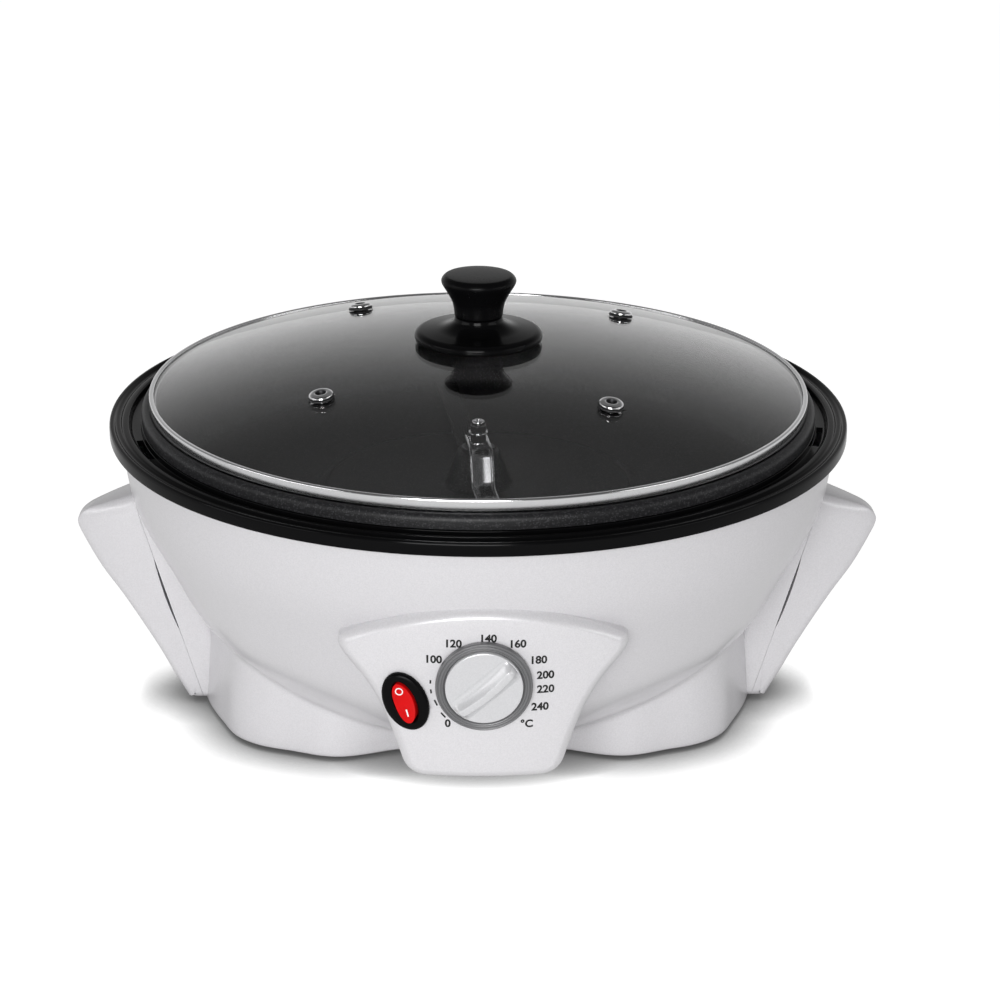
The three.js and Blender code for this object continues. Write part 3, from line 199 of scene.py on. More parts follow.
def grain_on(tree, roughness, spread, scale, strength, depth):
    """What the shader's sockets take for the moulded grain."""
    texture = added(tree, "Group")
    texture.node_tree = grain
    fill(tree, texture, {"Scale": scale, "Roughness": roughness, "Spread": spread})
    return {
        "Roughness": texture.outputs["Roughness"],
        "Normal": bumps(tree, texture.outputs["Height"], strength, depth),
    }


def grained(name, colour, roughness, scale, depth, spread=0.1, metallic=0.0):
    """A material of one colour with moulded grain and a slightly uneven shine."""
    material, tree, surface = new_material(name)
    fill(tree, surface, {
        "Base Color": (*colour, 1), "Metallic": metallic,
        **grain_on(tree, roughness, spread, scale, 0.5, depth),
    })
    return material


def finish_with(material, *names):
    """A CAD node whose shape is right keeps it and takes this material."""
    for name in names:
        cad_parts[name].data.materials.clear()
        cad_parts[name].data.materials.append(material)


black_moulding = grained("black_moulding", (0.018, 0.018, 0.019), 0.55, 1400, 0.00005)
black_rubber = grained("black_rubber", (0.012, 0.012, 0.012), 0.82, 700, 0.00008)
finish_with(black_moulding, "base_cover")
steatite = grained("steatite", (0.78, 0.74, 0.64), 0.62, 500, 0.00006)
finish_with(steatite, "terminal_block", "thermostat_body", "thermal_fuse")


def picked(active, *others):
    """Only these pieces selected, the first of them active."""
    bpy.ops.object.select_all(action="DESELECT")
    for piece in (active, *others):
        piece.select_set(True)
    bpy.context.view_layer.objects.active = active


def merged(*pieces):
    """The pieces joined into the first of them."""
    picked(*pieces)
    bpy.ops.object.join()
    return pieces[0]


def named(name):
    """The object that an operator has just made, under its own name."""
    piece = bpy.context.object
    piece.name = piece.data.name = name
    return piece


def welded(gap=1e-6):
    """Everything in edit mode selected, and its points this close together made one."""
    bpy.ops.mesh.select_all(action="SELECT")
    bpy.ops.mesh.remove_doubles(threshold=gap)


def extruded(step):
    """What is selected in edit mode extruded by this step."""
    bpy.ops.mesh.extrude_region_move(TRANSFORM_OT_translate={"value": step})


def drawn_line(name, points):
    """A mesh of one line of edges, drawn from its first point by extruding it to each next one."""
    bpy.ops.object.select_all(action="DESELECT")
    bpy.ops.mesh.primitive_plane_add(size=mm, location=points[0])
    piece = named(name)
    bpy.ops.object.transform_apply(location=True, rotation=True, scale=True)
    bpy.ops.object.mode_set(mode="EDIT")
    bpy.ops.mesh.select_all(action="SELECT")
    bpy.ops.mesh.merge(type="CENTER")
    for near, far in zip(points, points[1:]):
        extruded(Vector(far) - Vector(near))
    return piece


def softened(corners, steps=4):
    """A profile of (across, up, softness) corners, each rounded over its softness."""
    points = []
    for i, (across, up, *soft) in enumerate(corners):
        here = Vector((across, up))
        if not soft or i in (0, len(corners) - 1):
            points.append(here)
            continue
        before = Vector(corners[i - 1][:2]) - here
        after = Vector(corners[i + 1][:2]) - here
        start = here + before.normalized() * min(soft[0], before.length * 0.49)
        end = here + after.normalized() * min(soft[0], after.length * 0.49)
        for step in range(steps + 1):
            t = step / steps
            points.append(start * (1 - t) ** 2 + here * 2 * t * (1 - t) + end * t ** 2)
    return points


def settled(piece, angle=32):
    """Doubles merged, faces outwards, edges flatter than the angle shaded smooth."""
    bpy.ops.object.mode_set(mode="EDIT")
    welded(2e-6)
    bpy.ops.mesh.normals_make_consistent(inside=False)
    bpy.ops.object.mode_set(mode="OBJECT")
    bpy.ops.object.shade_smooth_by_angle(angle=radians(angle))
    return piece


def turned(name, corners, steps, angle=32):
    """A piece turned on a lathe from a profile in millimetres. It closes on itself off the axis."""
    profile = softened(corners)
    if profile[0].x > 1e-6:
        profile.append(profile[0])
    piece = drawn_line(name, [(across * mm, 0, up * mm) for across, up in profile])
    bpy.ops.mesh.select_all(action="SELECT")
    bpy.ops.mesh.spin(steps=steps, angle=2 * pi, center=(0, 0, 0), axis=(0, 0, 1))
    return settled(piece, angle)


def placed(piece, matrix):
    """The piece moved to its place, with the place kept in its mesh."""
    picked(piece)
    piece.matrix_world = matrix
    bpy.ops.object.transform_apply(location=True, rotation=True, scale=True)
    return piece


def dressed(piece, material, body, slot, *replaced):
    """The piece with its material, riding on its body, in place of the CAD nodes it stands for."""
    piece.data.materials.clear()
    piece.data.materials.append(material)
    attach(piece, body)
    if replaced:
        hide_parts(*replaced)
    return piece


foot_profile = [
    (0, 0), (7.9, 0, 0.6), (9, 1.1, 0.8), (9, 3.7, 0.3), (3, 3.7), (3, 6.8), (4.2, 6.8, 0.3),
    (3.2, 8.6, 0.6), (1.2, 8.8), (0, 8.8),
]
for name in ("front_left_foot", "front_right_foot", "rear_left_foot", "rear_right_foot"):
    low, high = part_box(name)
    foot = turned(f"rubber_{name}", foot_profile, 40)
    placed(foot, Matrix.Translation(((low[0] + high[0]) / 2, (low[1] + high[1]) / 2, 0)))
    dressed(foot, black_rubber, "housing", "black_rubber", name)


# Housing: one moulding, a bowl that runs down into an oval foot with four soft corners, lacquered
# in pearl white. A small fillet joins bowl and foot, and the top edge goes up under the collar.
def pearl_lacquer(name, colour, roughness):
    """Pearl lacquer: fine metallic flakes, a faint orange-peel skin and a clear coat over them."""
    material, tree, surface = new_material(name)
    where = added(tree, "TexCoord").outputs["Object"]
    flakes = added(tree, "TexVoronoi", {"Vector": where, "Scale": 2600})
    spread = added(tree, "MapRange", {
        "Value": flakes.outputs["Color"], "From Max": 1, "To Min": 0.93, "To Max": 1.04,
    })
    fill(tree, surface, {
        "Base Color": toned(tree, colour, spread.outputs["Result"]),
        "Metallic": 0.15, "Coat Weight": 0.5, "Coat Roughness": 0.08,
        **grain_on(tree, roughness, 0.05, 420, 0.12, 0.00004),
    })
    return material


def toned(tree, colour, strength):
    """The colour made lighter or darker by a strength that changes over the surface."""
    tone = added(tree, "VectorMath")
    tone.operation = "SCALE"
    return fill(tree, tone, {0: colour, "Scale": strength}).outputs["Vector"]


pearl = pearl_lacquer("pearl_lacquer", (0.655, 0.645, 0.665), 0.36)
bowl_radius, bowl_top, bowl_drop, bowl_wall = 139, 117, 122, 2.6
bowl_straighter, foot_fillet, foot_draft = 2.8, 2.4, 0.03
crease_height, straight_rise, foot_low, foot_height = 40, 55, 2, 43.5
foot_points = [
    (110, 6.65), (108.35, 15.3), (101.2, 34.6), (94.6, 48.2), (85.25, 56.2), (72.6, 61.2),
    (55, 66.5), (30.8, 60.2), (0, 57.2),
]
foot_knots = [(-0.0604, 110.2)]
foot_knots += [(Vector(p).angle_signed(Vector((1, 0))), hypot(*p)) for p in foot_points]
foot_knots.append((pi - foot_knots[-2][0], foot_knots[-2][1]))


def bowl_reach(height):
    """The bowl's radius: an ellipse, a little straighter between the crease and the collar."""
    share = min(1, max(0, (height - crease_height) / straight_rise))
    ellipse = bowl_radius * sqrt(1 - ((bowl_top - height) / bowl_drop) ** 2)
    return ellipse - bowl_straighter * sin(pi * share) ** 2


def foot_reach(angle, height):
    """How far the foot's wall stands from the axis, along a smooth line through its points."""
    turn = abs((angle + pi) % (2 * pi) - pi)
    turn = min(turn, pi - turn)
    i = sum(turn > knot[0] for knot in foot_knots[1:-2])
    (a0, r0), (a1, r1), after = foot_knots[i:i + 3]
    before = foot_knots[i - 1]
    slope0 = (r1 - before[1]) / (a1 - before[0]) if i else 0
    slope1 = (after[1] - r0) / (after[0] - a0)
    t, span = (turn - a0) / (a1 - a0), a1 - a0
    reach = (
        (2 * t ** 3 - 3 * t ** 2 + 1) * r0 + (t ** 3 - 2 * t ** 2 + t) * span * slope0
        + (3 * t ** 2 - 2 * t ** 3) * r1 + (t ** 3 - t ** 2) * span * slope1
    )
    return reach * (1 - foot_draft * (height - foot_low) / foot_height)


def housing_reach(angle, height):
    """The further of bowl and foot, with a fillet where they meet and a soft bottom edge."""
    bowl_out, foot_out = bowl_reach(height), foot_reach(angle, height)
    mix = max(0, min(1, 0.5 + (foot_out - bowl_out) / (2 * foot_fillet)))
    reach = bowl_out + (foot_out - bowl_out) * mix + foot_fillet * mix * (1 - mix)
    under = max(0, min(1, foot_low + 1 - height))
    return reach - (1 - sqrt(1 - under ** 2))


foot_rows = [foot_low, 2.3, 2.9] + [4 + i * 1.3 for i in range(36)]
rows = foot_rows + [51.5 + i * 4.6 for i in range(14)] + [115, bowl_top]
bpy.ops.object.select_all(action="DESELECT")
bpy.ops.mesh.primitive_circle_add(
    vertices=216, radius=bowl_radius * mm, location=(0, 0, rows[0] * mm))
housing = named("moulded_housing")
bpy.ops.object.transform_apply(location=True, rotation=True, scale=True)
bpy.ops.object.mode_set(mode="EDIT")
bpy.ops.mesh.select_all(action="SELECT")
for low, high in zip(rows, rows[1:]):
    extruded((0, 0, (high - low) * mm))
bpy.ops.object.mode_set(mode="OBJECT")
for corner in housing.data.vertices:
    angle = Vector(corner.co[:2]).angle_signed(Vector((1, 0)))
    out = housing_reach(angle, corner.co.z / mm) * mm
    corner.co.x, corner.co.y = out * cos(angle), out * sin(angle)
settled(housing, 60)


def walled(piece, thickness, side=-1):
    """A wall in millimetres given to the piece's skin, inside it, or outside where side is 1."""
    wall = piece.modifiers.new("wall", "SOLIDIFY")
    wall.thickness = thickness * mm
    wall.offset = side
    picked(piece)
    bpy.ops.object.modifier_apply(modifier="wall")


walled(housing, bowl_wall)

# The wings' roots are part of the same moulding: a fin on each side, from the bowl to the seam
# where the handle's cover starts, 27 mm thick at its root and 8 mm at its tip.
wing_low, wing_high, wing_half_thickness, wing_edge = 2, 88.5, 13.5, 3.4
thins_from, thins_over, tip_thinning, top_depth, top_thinning = 110, 48.75, 0.72, 10, 0.2
wing_points = [
    (116, wing_low), (119, 7.5), (122.6, 14), (128, 24.2), (135, 36), (142, 46.8), (149.5, 57),
    (155.5, 67), (158.75, 73.5), (158.3, 77), (155, 80.3), (149, 83.1), (135.15, wing_high),
]
seam_foot, seam_head = Vector((109.9, wing_low)), Vector((135.95, wing_high))
seam_way = (seam_head - seam_foot).normalized()
outwards = Vector((seam_way.y, 0, -seam_way.x))
wing_top, top_way = Vector((155, 0, 80.3)), Vector((0.382, 0, 0.924))


def smooth_line(points):
    """A smooth line through the points, with five more points between each two."""
    line = []
    for i in range(len(points) - 1):
        p = [Vector(points[max(0, min(len(points) - 1, j))]) for j in (i - 1, i, i + 1, i + 2)]
        for step in range(6):
            t = step / 6
            line.append(0.5 * (
                2 * p[1] + (p[2] - p[0]) * t + (2 * p[0] - 5 * p[1] + 4 * p[2] - p[3]) * t ** 2
                + (3 * p[1] - 3 * p[2] + p[3] - p[0]) * t ** 3
            ))
    return line + [Vector(points[-1])]


def pulled_plate(name, outline, half):
    """A plate drawn through its outline as seen from the front, and pulled to its thickness."""
    piece = drawn_line(name, [(x * mm, -half * mm, z * mm) for x, z in [*outline, outline[0]]])
    welded(1e-5)
    bpy.ops.mesh.edge_face_add()
    extruded((0, 2 * half * mm, 0))
    bpy.ops.mesh.select_all(action="SELECT")
    bpy.ops.mesh.normals_make_consistent(inside=False)
    bpy.ops.object.mode_set(mode="OBJECT")
    return piece


def rounded(piece, width, segments, clamp=True):
    """The piece's sharp edges rounded over a width in millimetres."""
    edges = piece.modifiers.new("edges", "BEVEL")
    edges.width = width * mm
    edges.segments = segments
    edges.limit_method = "ANGLE"
    edges.angle_limit = radians(60)
    edges.use_clamp_overlap = clamp
    picked(piece)
    bpy.ops.object.modifier_apply(modifier="edges")


def cut_across(where, way, **sides):
    """All of the mesh in edit mode, cut by a plane through a point in millimetres."""
    bpy.ops.mesh.select_all(action="SELECT")
    bpy.ops.mesh.bisect(plane_co=Vector(where) * mm, plane_no=way, **sides)


def wing_half(name, shift, **sides):
    """The fin up to the seam or from it on, thinner at its tip, with its outer edges rounded."""
    outline = [(98, wing_low), *smooth_line(wing_points), (120, wing_high)]
    piece = pulled_plate(name, outline, wing_half_thickness)
    rounded(piece, wing_edge, 6, clamp=False)
    bpy.ops.object.mode_set(mode="EDIT")
    for across in range(112, 158, 3):
        cut_across((across, 0, 0), (1, 0, 0))
    for below in (1.2, 2.4, 3.6, 5, 6.5, 8):
        cut_across(wing_top - top_way * below, top_way)
    seam = Vector((seam_foot.x, 0, seam_foot.y)) + outwards * shift
    cut_across(seam, outwards, use_fill=True, **sides)
    bpy.ops.object.mode_set(mode="OBJECT")
    for corner in piece.data.vertices:
        along = max(0, min(1, (corner.co.x / mm - thins_from) / thins_over))
        below = max(0, min(1, (wing_top - corner.co / mm).dot(top_way) / top_depth))
        corner.co.y *= (1 - tip_thinning * along ** 3) * (1 - top_thinning * (1 - below) ** 2)
    bpy.ops.object.mode_set(mode="EDIT")
    bpy.ops.mesh.select_all(action="SELECT")
    bpy.ops.mesh.quads_convert_to_tris()
    return settled(piece, 34)


def to_left(piece, name):
    """A copy for the other side, half a turn round the axis, with its own mesh."""
    picked(piece)
    bpy.ops.object.duplicate(linked=False)
    return placed(named(name), Matrix.Rotation(pi, 4, "Z"))


def cut_out(piece, cutter, way="DIFFERENCE"):
    """The cutter taken out of the piece, or the piece kept only inside it. The cutter goes."""
    step = piece.modifiers.new("cut", "BOOLEAN")
    step.operation, step.solver, step.object = way, "EXACT", cutter
    picked(piece)
    bpy.ops.object.modifier_apply(modifier="cut")
    bpy.data.objects.remove(cutter)
    return piece


seam_half = 0.05
right_root = wing_half("right_wing_root", -seam_half, clear_outer=True)
left_root = to_left(right_root, "left_wing_root")
at_back = Matrix.Translation((0, 0, 31 * mm)) @ Matrix.Rotation(-pi / 2, 4, "X")
inlet = turned("cord_inlet", [(6.3, 96), (10, 96), (10, 108, 1.2), (6.3, 108, 0.5)], 48)
placed(inlet, at_back)
merged(housing, right_root, left_root, inlet)
dressed(housing, pearl, "housing", "pearl_paint", "housing_shell")

# Wing covers: a hollow handle cover slides over each root. The seam is tight at both ends and gapes
# a little halfway down.
right_cover = wing_half("right_wing", seam_half, clear_inner=True)
seam_side = Vector((outwards.x, outwards.z))
gape_start, gape_length, gape_width = 31, 33, 0.95
gape = []
for i in range(21):
    share = i / 20
    spot = seam_foot + seam_way * (gape_start + gape_length * share)
    gape.append((spot, gape_width * sin(pi * share) ** 0.8))
lens = [spot + seam_side * wide for spot, wide in gape]
lens += [spot - seam_side * seam_half for spot, _ in reversed(gape[1:-1])]
cut_out(right_cover, pulled_plate("seam_gape", lens, 15))
left_cover = to_left(right_cover, "left_wing")
dressed(right_cover, pearl, "housing", "pearl_paint", "right_handle_cover")
dressed(left_cover, pearl, "housing", "pearl_paint", "left_handle_cover")

# Cord gland: a soft black bush in the inlet at the back, with its flange outside and no cord in it.
gland = turned("rubber_gland", [
    (3.3, 97.3), (6, 97.3, 0.6), (6, 108.3), (8.4, 108.3), (8.4, 110.7, 1), (3.3, 110.7, 0.8),
], 40)
placed(gland, at_back)
dressed(gland, black_rubber, "housing", "black_rubber", "cord_gland")


# Collar: a glossy black ring clamps the pan. It has a ridge, a groove and a sunk channel with
# twelve vent slots, and its skirt goes down over the housing's edge.
def black_gloss(name, roughness):
    """Polished black moulding: a deep clear skin with faint hairlines and fine unevenness."""
    material = grained(name, (0.003, 0.003, 0.0033), roughness, 160, 0.00002, 0.08)
    material.node_tree.nodes["Principled BSDF"].inputs["Specular IOR Level"].default_value = 0.07
    return material


gloss = black_gloss("black_gloss", 0.14)
collar = turned("collar", [
    (128.4, 116.4), (135.8, 116.4), (135.8, 117.3), (141.6, 117.3, 0.6), (141.6, 116.2),
    (144, 116.0, 0.5), (144, 121.1, 1.6), (142.3, 121.1, 0.5), (141.3, 120.0, 0.7),
    (139.7, 120.0, 0.7), (138.9, 121.0, 0.6), (136.4, 121.1, 0.8), (135.5, 118.4, 0.8),
    (131.8, 118.4, 0.4), (131.8, 120.8, 0.4), (128.4, 120.8, 0.3),
], 192)
slot_count, slot_angle, first_slot = 12, 9.5, -102
slot_section = [(132.1, 113), (134.7, 113), (134.7, 122), (132.1, 122), (132.1, 113)]
slots = []
for i in range(slot_count):
    slot = drawn_line(f"slot_{i}", [(across * mm, 0, up * mm) for across, up in slot_section])
    welded(1e-5)
    bpy.ops.mesh.edge_face_add()
    bpy.ops.mesh.spin(steps=8, angle=radians(slot_angle), center=(0, 0, 0), axis=(0, 0, 1))
    welded()
    bpy.ops.mesh.normals_make_consistent(inside=False)
    bpy.ops.object.mode_set(mode="OBJECT")
    turn = radians(first_slot + 360 / slot_count * i) + radians(slot_angle / 2)
    slots.append(placed(slot, Matrix.Rotation(turn, 4, "Z")))
cut_out(collar, merged(*slots))
dressed(collar, gloss, "housing", "gloss_black", "collar_ring")

# Pan: pressed aluminium with a hollow cone for the shaft and a rolled rim that hangs on the collar.
# The black non-stick coat has a fine bright fleck in it, and faint turning rings on the floor.
non_stick, tree, surface = new_material("non_stick_coat")
where = added(tree, "TexCoord").outputs["Object"]
fleck = added(tree, "TexVoronoi", {"Vector": where, "Scale": 2400})
apart = added(tree, "SeparateColor", {"Color": fleck.outputs["Color"]})
bright = added(tree, "ValToRGB", {"Fac": apart.outputs["Red"]})
dark_end, bright_end = bright.color_ramp.elements
dark_end.position, dark_end.color = 0.72, (0.009, 0.009, 0.010, 1)
bright_end.position, bright_end.color = 1.0, (0.045, 0.045, 0.048, 1)
rings = added(tree, "TexWave", {"Vector": where, "Scale": 260, "Distortion": 0.4})
rings.wave_type = "RINGS"
rings.rings_direction = "Z"
rough = added(tree, "TexNoise", {"Vector": where, "Scale": 1600}).outputs["Fac"]
height = joined(tree, "MULTIPLY_ADD", rings.outputs["Fac"], 0.25, rough)
shine = added(tree, "MapRange", {"Value": rough, "To Min": 0.40, "To Max": 0.52})
fill(tree, surface, {
    "Base Color": bright.outputs["Color"], "Roughness": shine.outputs["Result"],
    "Specular IOR Level": 0.3, "Normal": bumps(tree, height, 0.4, 0.00005),
})


bead_radius, bead_height = 129, 123.9


def curl(radius, start, end, steps):
    """Points along an arc of the rolled rim, from one angle to another."""
    turns = [radians(start + (end - start) * i / steps) for i in range(steps + 1)]
    return [(bead_radius + radius * cos(t), bead_height + radius * sin(t)) for t in turns]


pan_inside = [
    (6.5, 103.4), (8.3, 103.4, 1.2), (13.1, 89.4, 2.0), (59.6, 89.4, 0.3), (60.4, 88.7, 0.4),
    (62.4, 88.7, 0.4), (63.2, 89.4, 0.3), (122.4, 89.4, 5.0), (126.5, 122.6, 1.0),
    *curl(2.5, 170, 0, 10), (131.5, 121.1),
]
pan_outside = [
    (129.9, 121.1), *curl(0.9, 0, 170, 6), (128.1, 122.4, 1.0), (124.2, 87.8, 5.5), (64.2, 87.8),
    (62.9, 87.1, 0.3), (59.9, 87.1, 0.3), (58.6, 87.8), (11.9, 87.8, 1.5), (7.0, 101.8, 0.6),
    (6.5, 101.8),
]
pan = turned("pan", pan_inside + pan_outside, 192, 40)
dressed(pan, non_stick, "housing", "non_stick", "roasting_pan")


# Below the pan, out of sight: the liner that hangs on the collar, the sheathed element on its
# clips, the geared motor on its bracket, and the wiring's terminals. All keep the CAD's shapes.
def metal(name, colour, roughness, streak, depth=0.00003, along=(1, 1, 1)):
    """Bare metal with fine streaks along one direction and a little unevenness in its shine."""
    material, tree, surface = new_material(name)
    where = added(tree, "TexCoord").outputs["Object"]
    stretch = added(tree, "Mapping", {"Vector": where, "Scale": along})
    streaks = added(tree, "TexNoise", {
        "Vector": stretch.outputs["Vector"], "Scale": streak, "Detail": 4,
    }).outputs["Fac"]
    tone = added(tree, "MapRange", {"Value": streaks, "To Min": 0.86, "To Max": 1.08})
    shine = added(tree, "MapRange", {
        "Value": streaks, "To Min": roughness * 0.75, "To Max": roughness * 1.3,
    })
    fill(tree, surface, {
        "Base Color": toned(tree, colour, tone.outputs["Result"]), "Metallic": 1,
        "Roughness": shine.outputs["Result"], "Normal": bumps(tree, streaks, 0.3, depth),
    })
    return material


sheet_steel = metal("sheet_steel", (0.50, 0.51, 0.52), 0.38, 120)
finish_with(
    sheet_steel, "pan_liner", "element_clip_1", "element_clip_2", "element_clip_3",
    "motor_bracket", "motor_can", "gearbox")
element_sheath = metal("element_sheath", (0.10, 0.10, 0.11), 0.5, 90)
finish_with(element_sheath, "heating_element")
turned_steel = metal("turned_steel", (0.52, 0.52, 0.53), 0.28, 400, along=(1, 1, 12))
finish_with(turned_steel, "gear_output_shaft", "capillary_sensor", "knob_screw")
plain_brass = metal("plain_brass", (0.62, 0.43, 0.16), 0.3, 300)
finish_with(plain_brass, "shaft_coupling", "switch_blade_upper", "switch_blade_lower")

# Shaft: a dark bush stands in the pan's cone, and the bright drive shaft comes up through it, with
# a centre hole in its tip. A dark nut, a bright washer and a locknut hold the stirrer on it.
dark_steel = metal("dark_steel", (0.07, 0.07, 0.075), 0.32, 260)
bush = turned("shaft_bush_turned", [
    (3.2, 94.4), (4.9, 94.4, 0.3), (4.9, 103.7), (6.6, 103.7, 0.2), (6.6, 104.6, 0.3),
    (3.2, 104.6, 0.3),
], 48)
dressed(bush, dark_steel, "housing", "dark_steel", "shaft_bush")
polished_steel = metal("polished_steel", (0.74, 0.74, 0.75), 0.10, 500, 0.00001)
shaft = turned("bright_shaft", [
    (0, 64.8), (2.6, 64.8, 0.3), (2.6, 113.6), (2.6, 115.2, 0.9), (1.1, 115.2, 0.3),
    (0.9, 112.2, 0.3), (0, 112.0),
], 48)
dressed(shaft, polished_steel, "stirrer", "polished_steel", "drive_shaft")
washer = turned("bright_washer", [
    (2.9, 109.9), (3.9, 109.9, 0.2), (3.9, 110.7, 0.3), (2.9, 110.7),
], 48)
dressed(washer, polished_steel, "stirrer", "polished_steel", "stirrer_washer")


nut_corner, nut_face, nut_bore = 3.5, 3.15, 2.75


def hex_nut(name, low, high):
    """A hexagon nut: a six-sided prism with its corners turned off and a bore through it."""
    bpy.ops.object.select_all(action="DESELECT")
    middle = (low + high) / 2 * mm
    bpy.ops.mesh.primitive_cylinder_add(
        vertices=6, radius=nut_corner * mm, depth=(high - low) * mm, location=(0, 0, middle))
    nut = named(name)
    bpy.ops.object.transform_apply(location=True, rotation=True, scale=True)
    cut_out(nut, turned(f"{name}_dome", [
        (0, low), (nut_face, low), (3.6, low + 0.4), (3.6, high - 0.4), (nut_face, high), (0, high),
    ], 40), "INTERSECT")
    cut_out(nut, turned(f"{name}_bore", [
        (0, low - 2), (nut_bore, low - 2), (nut_bore, high + 2), (0, high + 2),
    ], 40))
    bpy.ops.object.shade_smooth_by_angle(angle=radians(30))
    return nut


nut = hex_nut("shaft_nut", 106.6, 109.6)
dressed(nut, dark_steel, "stirrer", "dark_steel", "stirrer_nut")
locknut = hex_nut("shaft_locknut", 111.0, 113.4)
dressed(locknut, dark_steel, "stirrer", "dark_steel", "stirrer_locknut")

# Stirrer: one strip of stainless steel with its edges turned up, bent over the cone, down both its
# sides and out along the pan's floor, a little over the coat.
low_face, hub_face, arm_half_width, arm_reach = 92.4, 105.2, 4.8, 117.9
edge_from, edge_rise, bend_from, bend_rise, end_round = 4.2, 0.9, 3.6, 0.35, 3.2
strip_wall, arm_turn = 1.1, 6
arm_line = [
    (-arm_reach, low_face), (-16.6, low_face, 3.0), (-10.2, hub_face - 1.2, 1.6),
    (-7.6, hub_face, 1.0), (7.6, hub_face, 1.0), (10.2, hub_face - 1.2, 1.6),
    (16.6, low_face, 3.0), (arm_reach, low_face),
]
arm = drawn_line(
    "stirrer_strip", [(-arm_half_width * mm, x * mm, z * mm) for x, z in softened(arm_line, 5)])
bpy.ops.mesh.select_all(action="SELECT")
for width in (0.9, 0.5, 3.4, 3.4, 0.5, 0.9):
    extruded((width * mm, 0, 0))
bpy.ops.object.mode_set(mode="OBJECT")
for corner in arm.data.vertices:
    if abs(corner.co.x) > edge_from * mm:
        corner.co.z += edge_rise * mm
    elif abs(corner.co.x) > bend_from * mm:
        corner.co.z += bend_rise * mm
    if abs(corner.co.y) > (arm_reach - 1) * mm:
        shorter = end_round * mm * (corner.co.x / (arm_half_width * mm)) ** 2
        corner.co.y -= shorter if corner.co.y > 0 else -shorter
settled(arm, 40)
walled(arm, strip_wall, side=1)
placed(arm, Matrix.Rotation(radians(arm_turn), 4, "Z"))
brushed_steel = metal("brushed_stainless", (0.66, 0.66, 0.67), 0.17, 340, 0.00002, along=(6, 1, 1))
dressed(arm, brushed_steel, "stirrer", "polished_steel", "stirrer_arm")

# Control panel: a lacquered pod that stands out of the bowl. Its face follows the bowl and leans in
# a little at the bottom, and a soft bevel runs all round it.
pod_top, pod_shoulder, pod_bottom = 94, 77.8, 27.1
face_radius, face_lean = bowl_reach(pod_top) + 2.6, radians(3.5)


def face_at(across, height):
    """Where the panel's face is, in front of the axis."""
    radius = face_radius - (pod_top - height) * tan(face_lean)
    return -sqrt(radius ** 2 - across ** 2)


half_top, half_bottom, top_corner, bottom_corner, flank_corner = 54.1, 27, 9, 7, 5
rise = pod_top - pod_shoulder
arch_radius = (half_top ** 2 + rise ** 2) / (2 * rise)
arch_turn = asin(half_top / arch_radius)
arch = [
    (arch_radius * sin(t), pod_top - arch_radius * (1 - cos(t)))
    for t in (arch_turn * (1 - i / 20) for i in range(1, 40))
    if abs(t) < arch_turn - top_corner / arch_radius
]
flank = [(31.2, 41), (35.6, 53), (41.6, 63.5)]
panel_line = [
    (0, pod_bottom), (half_bottom, pod_bottom, bottom_corner),
    *[(x, z, flank_corner) for x, z in flank], (half_top, pod_shoulder, top_corner),
    *arch, (-half_top, pod_shoulder, top_corner),
    *[(-x, z, flank_corner) for x, z in flank[::-1]],
    (-half_bottom, pod_bottom, bottom_corner), (-0.01, pod_bottom),
]


def inset_line(line, distance):
    """A closed line moved inwards everywhere by the distance."""
    moved = []
    for i, here in enumerate(line):
        into = (here - line[i - 1]).normalized()
        out = (line[(i + 1) % len(line)] - here).normalized()
        across = (into + out).normalized()
        side = Vector((-across.y, across.x))
        moved.append(here + side * distance / max(0.3, across.dot(into)))
    return moved


def resampled(line, count):
    """The closed line with evenly spaced points."""
    closed = [*line, line[0]]
    lengths = [(b - a).length for a, b in zip(closed, closed[1:])]
    total, points, i, walked = sum(lengths), [], 0, 0
    for k in range(count):
        goal = total * k / count
        while walked + lengths[i] < goal:
            walked += lengths[i]
            i += 1
        points.append(closed[i].lerp(closed[i + 1], (goal - walked) / lengths[i]))
    return points


# Layers go from the rim inside the bowl over the bevel, each (inwards, behind the face), and then
# over the face in shrinking rings. The solid is drawn with as many, and each then takes its line.
rim = resampled(softened(panel_line, 8)[:-1], 180)
centre, back_plane = Vector((0, 62)), -60
bevel = [(0.0, 3.4), (0.12, 2.9), (1.6, 1.15), (2.1, 0.68), (2.6, 0.3), (3.1, 0.08), (3.5, 0.0)]
shrinks = [0.9, 0.8, 0.68, 0.56, 0.44, 0.32, 0.2, 0.1]
panel = drawn_line("control_pod", [(p.x * mm, back_plane * mm, p.y * mm) for p in [*rim, rim[0]]])
welded()
for _ in [*bevel, *shrinks]:
    extruded((0, -1 * mm, 0))
bpy.ops.mesh.edge_face_add()
bpy.ops.object.mode_set(mode="OBJECT")
layers = [[(p.x, back_plane, p.y) for p in rim]]
for inward, back in bevel:
    layers.append([(p.x, face_at(p.x, p.y) + back, p.y) for p in inset_line(rim, inward)])
for share in shrinks:
    ring = [centre + (p - centre) * share for p in inset_line(rim, bevel[-1][0])]
    layers.append([(p.x, face_at(p.x, p.y), p.y) for p in ring])
by_depth = sorted(panel.data.vertices, key=lambda v: -v.co.y)
for level, layer in enumerate(layers):
    for corner in by_depth[level * len(rim):(level + 1) * len(rim)]:
        at = Vector((corner.co.x / mm, corner.co.z / mm))
        nearest = min(range(len(rim)), key=lambda k: (rim[k] - at).length)
        corner.co = Vector(layer[nearest]) * mm
settled(panel, 50)
walled(panel, 2.5)

